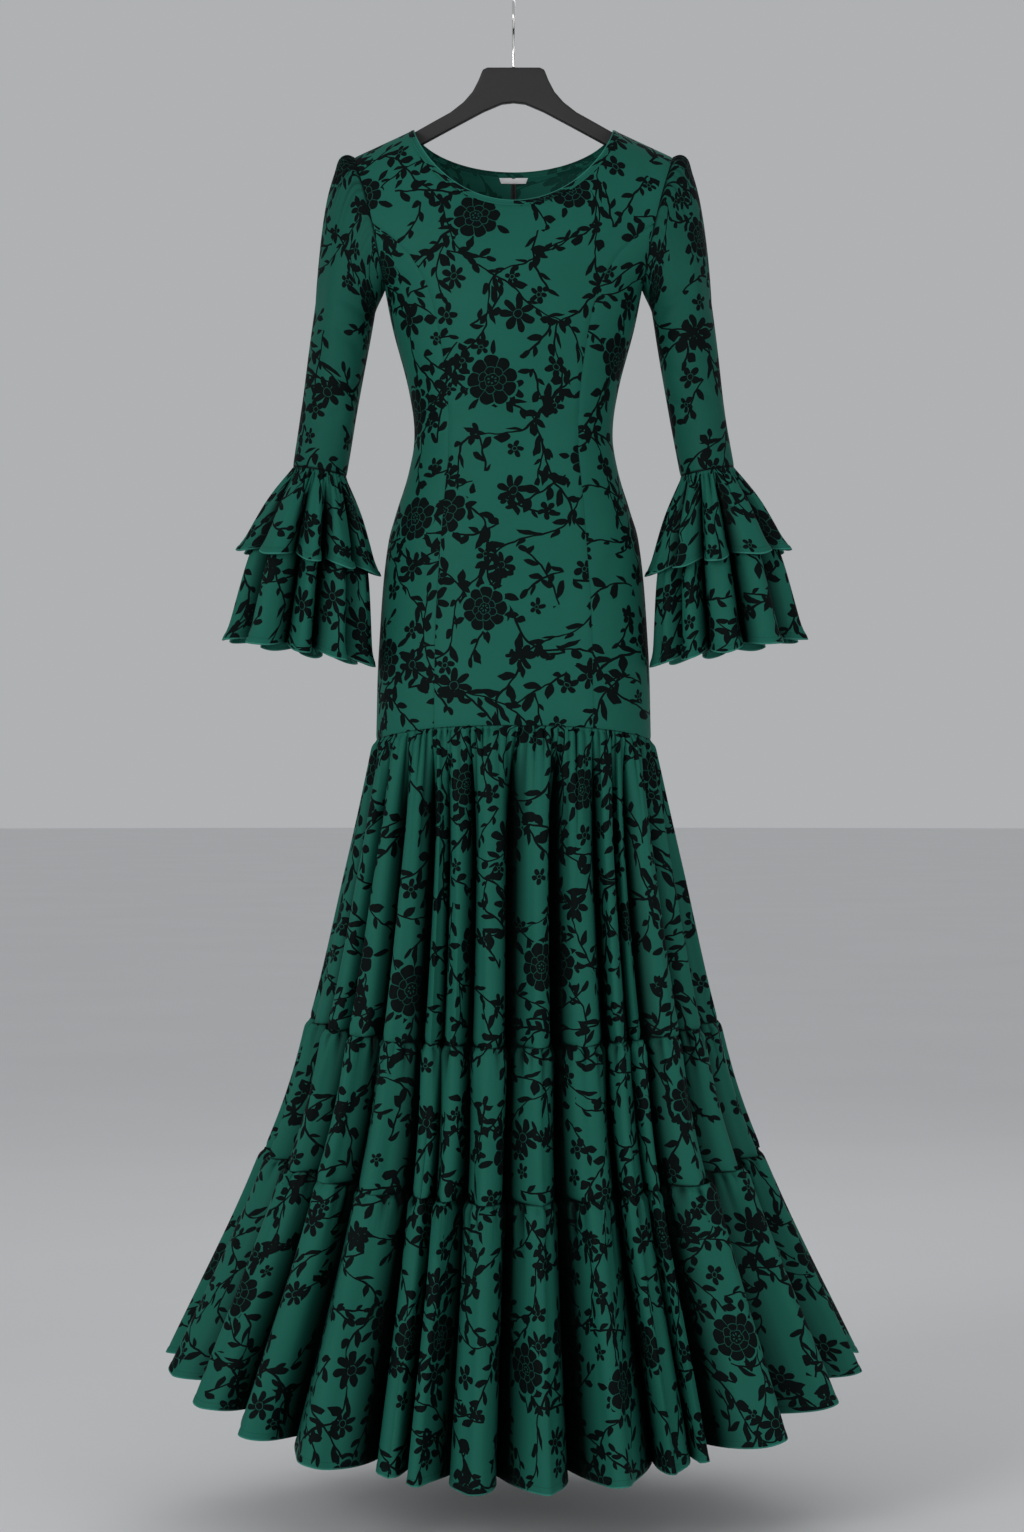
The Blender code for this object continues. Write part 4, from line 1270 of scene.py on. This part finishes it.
def fold_columns(folds, key, per_degree):
    """For each column: its fold, its share of the way across it; and where folds start."""
    fold = []
    shares = []
    for k, here in enumerate(folds):
        after = folds[(k + 1) % len(folds)]
        width = (getattr(after, key) - getattr(here, key)) % 360
        count = max(10, round(width * per_degree))
        t = np.arange(count) / count
        fold.append(np.full(count, k))
        shares.append(t - 0.075 * np.sin(2 * pi * t))
    starts = np.cumsum([0] + [len(part) for part in fold[:-1]])
    return np.concatenate(fold), np.concatenate(shares), starts


def column_of(folds, key, fold, ahead=0):
    """A column of a folds' table for each column of the cloth."""
    values = np.array([getattr(row, key) for row in folds], float)
    return values[(fold + ahead) % len(folds)]


FLOUNCE_DEPTH = 1.45
FLOUNCE_SCALLOP = 0.010
print("flounce columns:", len(fold_columns(RIGHT_PLEATS, "angle", 0.72)[0]))

# %% The flounces
def make_flounce(hand, tier, table, pleats, seed, shift):
    """One gathered flounce, in place of its node."""
    fold, share, starts = fold_columns(pleats, "angle", 0.72)
    start = column_of(pleats, "angle", fold)
    width = (column_of(pleats, "angle", fold, 1) - start) % 360
    turn = np.radians(start + width * share)
    offset, lean, shade = fold_shape(pleats, fold, share, seed)
    rows = []
    levels = spaced(1.0, 0.048, 0.022, 0.08) * (len(table) - 1)
    for level in levels:
        ring = Flare(*(float(between(table, key, level)) for key in Flare._fields))
        more = offset * ring.fold * FLOUNCE_DEPTH
        sizes = (ring.half_width + more, ring.half_depth + more)
        swung = turn + lean * ring.fold / ring.half_width
        rows.append(oval_ring(ring.x, ring.y, ring.z, *sizes, swung))
    grid = np.array(rows)
    hang = (levels / (len(table) - 1))[:, None] ** 2
    grid[..., 2] += hang * (0.004 - FLOUNCE_SCALLOP * np.sin(pi * share))
    down = down_columns(grid)
    foot = down[-1:] - down
    place = np.cumsum(spans_of(grid, True)[2])
    place = place / place[-1]
    random = np.random.default_rng(seed)
    phase = random.uniform(0, 2 * pi, len(pleats))[fold]
    wave = np.sin(2 * pi * share * 1.5 + phase) * np.sin(pi * share)
    fine = gathers(place, down, 42, 0.0052, 0.036, seed)
    relief = fine + wave * 0.0018 * np.clip(down / 0.05, 0, 1)
    relief = relief + hem_relief(foot)
    relief = relief + 0.0028 * np.exp(-(((foot) / 0.012) ** 2)) * np.sin(pi * share)
    grid = raised(grid, relief, True)
    if hand == "left":
        grid = mirrored(grid)
    gather = np.exp(-down / 0.016)
    name = f"{tier}_flounce_{hand}"
    # Painted shade: darker in the hollows between the folds and in the fine gathers, and along the cuff
    # seam.
    depth_and_painted_shade = shade * np.clip(down / 0.045, 0, 1) * 0.95 - fine * 75
    depth_and_painted_shade = depth_and_painted_shade + 0.4 * np.exp(-((down / 0.0014) ** 2))
    piece = cloth(name, grid, CREPE, True, starts, shift, gather, foot, depth_and_painted_shade)
    wear(piece, f"flounce_{tier}_{hand}", grid, True, None)


make_flounce("right", "upper", UPPER_FLOUNCE, RIGHT_PLEATS, 21, (3.51, 0.23))
make_flounce("right", "lower", LOWER_FLOUNCE, RIGHT_PLEATS, 22, (4.03, 0.67))
make_flounce("left", "upper", UPPER_FLOUNCE, LEFT_PLEATS, 23, (4.57, 0.37))
make_flounce("left", "lower", LOWER_FLOUNCE, LEFT_PLEATS, 24, (5.11, 0.91))

# %% [markdown]
# ## The skirt
# Three straight strips, each longer than the one above, are gathered and sewn
# one under another. At each seam the gathers stand close together. Lower down
# they join into the same few deep folds, which run on through all three tiers
# to the hem. The folds are rounded in front, and the hollows between them are
# narrow and deep.

# %% Points of the skirt


EXTRA_DEPTH = 0.011


def skirt_ring(level, fold, share, shape):
    """One ring of the skirt at a level that counts the table's rows."""
    ring = Ring(*(float(between(SKIRT, key, level)) for key in Ring._fields))
    part = level / (len(SKIRT) - 1)
    hip = column_of(SKIRT_FOLDS, "hip", fold)
    start = hip + (column_of(SKIRT_FOLDS, "hem", fold) - hip) * part
    hip = column_of(SKIRT_FOLDS, "hip", fold, 1)
    end = hip + (column_of(SKIRT_FOLDS, "hem", fold, 1) - hip) * part
    angle = np.radians(start + ((end - start) % 360) * share)
    depth = np.where(np.cos(angle) > 0, ring.front, ring.back)
    x = ring.half_width * signed_power(np.sin(angle), 2 / ring.oval)
    y = -depth * signed_power(np.cos(angle), 2 / ring.oval)
    z = ring.side_z + (ring.centre_z - ring.side_z) * np.abs(np.cos(angle)) ** DIP_POWER
    out = np.stack([x / ring.half_width**2, y / depth**2, 0 * x], -1)
    out /= np.linalg.norm(out, axis=-1, keepdims=True)
    side = np.stack([-out[:, 1], out[:, 0], 0 * x], -1)
    offset, lean, _ = shape
    fold_depth = ring.fold + EXTRA_DEPTH * sin(pi * min(level, 3.0) / 3.0)
    z = z - 0.005 * part**2 * np.sin(pi * share)
    return np.stack([x, y, z], -1) + (out * offset[:, None] + side * lean[:, None]) * fold_depth


print("hem at", SKIRT[-1].centre_z)

# %% The tiers
Tier = namedtuple("Tier", "name node first last columns coarse gathers depth reach shift")
TIERS = [
    Tier("tier_top", "skirt_tier_1", 0, 3, 2.3, 0.0085, 112, 0.0056, 0.075, (5.71, 0.29)),
    Tier("tier_middle", "skirt_tier_2", 3, 4, 2.6, 0.0090, 190, 0.0056, 0.030, (8.23, 0.13)),
    Tier("tier_hem", "skirt_tier_3", 4, 5, 2.8, 0.0095, 230, 0.0058, 0.032, (11.37, 0.77)),
]


def make_tier(tier, seed):
    """One gathered strip of the skirt."""
    fold, share, starts = fold_columns(SKIRT_FOLDS, "hem", tier.columns)
    drop = between(SKIRT, "centre_z", np.linspace(tier.first, tier.last, 400))
    rows = spaced(float(drop[0] - drop[-1]), tier.coarse)
    levels = np.interp(rows, drop[0] - drop, np.linspace(tier.first, tier.last, 400))
    shape = fold_shape(SKIRT_FOLDS, fold, share, 77)
    grid = np.array([skirt_ring(level, fold, share, shape) for level in levels])
    down = down_columns(grid)
    foot = down[-1:] - down
    place = np.cumsum(spans_of(grid, True)[1])
    place = place / place[-1]
    random = np.random.default_rng(seed)
    phases = random.uniform(0, 2 * pi, (3, len(SKIRT_FOLDS)))[:, fold]
    part = (levels / (len(SKIRT) - 1))[:, None]
    swell = np.sin(pi * share)
    wave = np.sin(2 * pi * share * 1.3 + phases[0] + 3.0 * part) * 0.0042 * part
    wave = wave + np.sin(2 * pi * share * 2.4 + phases[1] - 4.0 * part) * 0.0020 * part
    relief = wave * swell
    fine = gathers(place, down, tier.gathers, tier.depth, tier.reach, seed)
    relief = relief + fine
    relief = relief + 0.0044 * (1 - np.exp(-((down / 0.006) ** 2))) * np.exp(-down / 0.060)
    if tier.node == "skirt_tier_3":
        relief = relief + hem_relief(foot)
    else:
        relief = relief + sink(foot, 0.0012, 0.0045)
    grid = raised(grid, relief, True)
    if tier.first == 0:
        grid[0] -= (0.0, 0.0, 0.0003)
    gather = np.exp(-down / 0.022)
    stitch_and_highlight = foot if tier.node == "skirt_tier_3" else None
    # Painted shade: darker in the hollows between the folds and the fine gathers, along the seam at the top
    # and, above the hem tier, at the foot.
    depth_and_painted_shade = shape[2] * np.clip((levels - 0.1) / 1.3, 0, 1)[:, None]
    depth_and_painted_shade = depth_and_painted_shade - fine * 90 + 0.45 * np.exp(-((down / 0.0014) ** 2))
    if tier.node != "skirt_tier_3":
        depth_and_painted_shade = depth_and_painted_shade + 0.3 * np.exp(-((foot / 0.0014) ** 2))
    piece = cloth(tier.name, grid, CREPE, True, starts, tier.shift, gather, stitch_and_highlight, depth_and_painted_shade)
    around = spans_of(grid, True).sum(axis=1)
    flat = (round(float(around.mean()) * 1.12, 2), round(float(down.mean(axis=1).max()), 3))
    wear(piece, tier.node, grid, True, flat)


for seed, tier in enumerate(TIERS):
    make_tier(tier, 31 + seed)

# %% [markdown]
# ## The hanger and its hook
# The hanger is one flat moulding with rounded edges, from a raised neck down to
# arms that carry the shoulders. Its outline is read from a short table. A grid
# is shaped to it, extruded to its thickness and rounded with a bevel. The hook
# is round wire: a circle is spun round the crown and back again into the
# shank, then drawn down into the neck.

# %% The hanger
Edge = namedtuple("Edge", "x z")
HANGER_THICK = 0.010
HANGER_ROUNDING = 0.003
HANGER_DROP = 0.0034
HANGER_TIP_X = 0.172
HANGER_TIP_DEPTH = 0.016
TIP_Z = float(shoulder_z(HANGER_TIP_X)) - HANGER_DROP
HANGER_TOP = [
    Edge(0.0000, -0.0710),
    Edge(0.0290, -0.0710),
    Edge(0.0340, -0.0735),
    Edge(0.0385, -0.0850),
    Edge(0.0450, -0.0975),
    Edge(0.0550, -0.1090),
    Edge(0.0690, -0.1200),
    Edge(0.0870, -0.1300),
    Edge(0.1090, NECK_POINT_Z - HANGER_DROP),
    Edge(0.1690, TIP_Z + 0.0012),
    Edge(0.1720, TIP_Z - 0.0030),
]
HANGER_UNDER = [
    Edge(0.0000, -0.1095),
    Edge(0.0130, -0.1110),
    Edge(0.0330, -0.1195),
    Edge(0.0630, -0.1355),
    Edge(0.1000, -0.1555),
    Edge(0.1680, TIP_Z - HANGER_TIP_DEPTH),
    Edge(0.1720, TIP_Z - HANGER_TIP_DEPTH + 0.004),
]


def charcoal():
    """Dark moulded plastic with a fine eggshell surface."""
    board = Board("charcoal moulding")
    place = board.node("ShaderNodeTexCoord").outputs["Object"]
    grain = board.grain(place, 1400.0)
    cloud = board.grain(place, 22.0, 3.0)
    bump = board.bump(grain, 0.25, 0.0002)
    shade = board.blend(cloud * 0.8, (0.0120, 0.0112, 0.0117, 1.0), (0.0180, 0.0170, 0.0176, 1.0))
    rough = 0.46 + 0.14 * cloud
    return board.finish({"Base Color": shade, "Roughness": rough, "Normal": bump})


def apply_all(piece):
    """Applies a piece's modifiers in order."""
    for step in list(piece.modifiers):
        bpy.ops.object.modifier_apply(modifier=step.name)


ready_to_model()
bpy.ops.mesh.primitive_grid_add(x_subdivisions=128, y_subdivisions=4, size=1.0)
hanger = bpy.context.object
hanger_x = np.concatenate([
    np.linspace(0, 0.026, 9)[:-1],
    np.linspace(0.026, 0.060, 27)[:-1],
    np.linspace(0.060, HANGER_TIP_X, 30),
])
top_x = [edge.x for edge in HANGER_TOP]
under_x = [edge.x for edge in HANGER_UNDER]
for corner in hanger.data.vertices:
    share = abs(corner.co.x) * 2
    x = float(np.interp(share, np.linspace(0, 1, len(hanger_x)), hanger_x))
    high = float(np.interp(x, top_x, [edge.z for edge in HANGER_TOP]))
    low = float(np.interp(x, under_x, [edge.z for edge in HANGER_UNDER]))
    z = low + (high - low) * (corner.co.y + 0.5)
    corner.co = (x if corner.co.x > 0 else -x, -HANGER_THICK / 2, z)
bpy.ops.object.mode_set(mode="EDIT")
bpy.ops.mesh.select_all(action="SELECT")
bpy.ops.mesh.extrude_region_move(TRANSFORM_OT_translate={"value": (0.0, HANGER_THICK, 0.0)})
bpy.ops.mesh.select_all(action="SELECT")
bpy.ops.mesh.remove_doubles(threshold=0.00001)
bpy.ops.mesh.normals_make_consistent(inside=False)
bpy.ops.object.mode_set(mode="OBJECT")
bevel = hanger.modifiers.new("rounded edges", "BEVEL")
bevel.width = HANGER_ROUNDING
bevel.segments = 5
bevel.limit_method = "ANGLE"
bevel.angle_limit = radians(50)
apply_all(hanger)
bpy.ops.object.shade_smooth_by_angle(angle=radians(40))
settle("hanger_moulding", charcoal(), "hanger")
print("hanger", [round(v, 4) for v in hanger.dimensions])

# %% The hook
WIRE = 0.0035
HOOK_INSIDE = 0.017
HOOK_TIP = radians(-105)
HOOK_NECK = radians(140)
BEND_RADIUS = 0.0337
BEND = radians(50)
SHANK_FOOT_Z = -0.0704
HOOK_RADIUS = HOOK_INSIDE + WIRE / 2


def steel():
    """Bright drawn wire."""
    board = Board("steel wire")
    place = board.node("ShaderNodeTexCoord").outputs["Object"]
    drawn = board.grain(board.vector("MULTIPLY", place, (3000.0, 400.0, 400.0)), 1.0)
    bump = board.bump(drawn, 0.15, 0.0001)
    shade = board.blend(drawn, (0.70, 0.69, 0.68, 1.0), (0.80, 0.79, 0.78, 1.0))
    rough = 0.16 + 0.10 * drawn
    return board.finish(
        {"Base Color": shade, "Roughness": rough, "Metallic": 1.0, "Normal": bump}
    )


def ring_of_wire(turn):
    """A place on the crown's centre line."""
    return (0.0, -HOOK_RADIUS * sin(turn), HOOK_RADIUS * cos(turn) - HOOK_INSIDE)


ready_to_model()
bpy.ops.mesh.primitive_circle_add(
    vertices=20,
    radius=WIRE / 2,
    fill_type="NGON",
    location=ring_of_wire(HOOK_TIP),
    rotation=(radians(-15), 0.0, 0.0),
)
hook = bpy.context.object
bpy.ops.object.transform_apply(location=True, rotation=True, scale=True)
bpy.ops.object.mode_set(mode="EDIT")
bpy.ops.mesh.select_all(action="SELECT")
bpy.ops.mesh.spin(
    steps=56, angle=HOOK_TIP - HOOK_NECK, center=(0.0, 0.0, -HOOK_INSIDE), axis=(1.0, 0.0, 0.0)
)
bpy.ops.object.mode_set(mode="OBJECT")
places = np.array([corner.co for corner in hook.data.vertices])
print("hook crown at", places.max(axis=0), "end near", ring_of_wire(HOOK_NECK))

# %% The shank
bpy.ops.object.mode_set(mode="EDIT")
_, crown_end_y, crown_end_z = ring_of_wire(HOOK_NECK)
bend_y = crown_end_y - BEND_RADIUS * cos(BEND)
bend_centre = (0.0, bend_y, crown_end_z - BEND_RADIUS * sin(BEND))
bpy.ops.mesh.spin(steps=16, angle=BEND, center=bend_centre, axis=(1.0, 0.0, 0.0))
drop = SHANK_FOOT_Z - bend_centre[2]
bpy.ops.mesh.extrude_region_move(TRANSFORM_OT_translate={"value": (0.0, 0.0, drop)})
bpy.ops.mesh.select_all(action="SELECT")
bpy.ops.mesh.remove_doubles(threshold=0.00001)
bpy.ops.mesh.normals_make_consistent(inside=False)
bpy.ops.object.mode_set(mode="OBJECT")
bevel = hook.modifiers.new("dressed end", "BEVEL")
bevel.width = 0.0006
bevel.segments = 3
bevel.limit_method = "ANGLE"
bevel.angle_limit = radians(60)
apply_all(hook)
bpy.ops.object.shade_smooth_by_angle(angle=radians(40))
settle("hook_wire", steel(), "hook")
places = np.array([corner.co for corner in hook.data.vertices])
print("hook from", places.min(axis=0).round(4), "to", places.max(axis=0).round(4))

# %% [markdown]
# ## Room, light and camera
# The dress hangs clear of a plain pale floor. A large soft light on the left,
# above the shoulders, shapes the folds, a weaker one fills from the lower
# right, and the pale room lights everything evenly. The camera stands level with the middle of the
# dress and looks straight at its front.

# %% The floor
FLOOR_Z = -1.66


def pale_floor():
    """Matt pale floor with a faint unevenness."""
    board = Board("pale floor")
    place = board.node("ShaderNodeTexCoord").outputs["Object"]
    cloud = board.grain(place, 1.3, 3.0)
    shade = board.blend(cloud, (0.76, 0.76, 0.77, 1.0), (0.82, 0.82, 0.83, 1.0))
    return board.finish({"Base Color": shade, "Roughness": 0.75})


ready_to_model()
bpy.ops.mesh.primitive_circle_add(vertices=96, radius=40.0, fill_type="NGON", location=(0, 0, FLOOR_Z))
floor = bpy.context.object
floor.name = "floor"
floor.data.materials.append(pale_floor())
print("floor at", FLOOR_Z)

# %% The lights
Softbox = namedtuple("Softbox", "name place aim size power")
SOFTBOXES = [
    Softbox("key", (-2.1, -3.0, 0.1), (0.0, 0.0, -1.15), 1.3, 46.0),
    Softbox("fill", (2.3, -2.9, -0.7), (0.0, 0.0, -1.10), 1.5, 18.0),
    Softbox("behind", (0.6, 2.6, 1.2), (0.0, 0.0, -0.60), 1.8, 10.0),
]
for box in SOFTBOXES:
    light = bpy.data.lights.new(box.name, "AREA")
    light.size = box.size
    light.energy = box.power
    lamp = bpy.data.objects.new(box.name, light)
    lamp.location = box.place
    ray = np.array(box.aim) - np.array(box.place)
    lamp.rotation_euler = (
        float(np.arctan2(np.hypot(ray[0], ray[1]), -ray[2])), 0.0, float(np.arctan2(-ray[0], ray[1]))
    )
    bpy.context.scene.collection.objects.link(lamp)
room = bpy.data.worlds.new("pale room")
room.use_nodes = True
room.node_tree.nodes["Background"].inputs["Color"].default_value = (0.86, 0.88, 0.90, 1.0)
room.node_tree.nodes["Background"].inputs["Strength"].default_value = 0.50
bpy.context.scene.world = room
bpy.context.scene.view_settings.view_transform = "Standard"
print("lights:", [box.name for box in SOFTBOXES])

# %% The camera
LENS = 76.9
camera = bpy.data.objects.new("camera", bpy.data.cameras.new("camera"))
camera.data.lens = LENS
camera.data.sensor_width = 36.0
camera.location = (-0.0017, -3.6, -0.8388)
camera.rotation_euler = (radians(90), 0.0, 0.0)
bpy.context.scene.collection.objects.link(camera)
bpy.context.scene.camera = camera
print("camera at", tuple(camera.location))

# %% [markdown]
# ## Sizes and the end
# The triangles of each piece are counted.

# %% Finishing
for piece in made:
    triangles = sum(len(face.vertices) - 2 for face in piece.data.polygons)
    print(f"{piece.name}: {triangles} triangles")
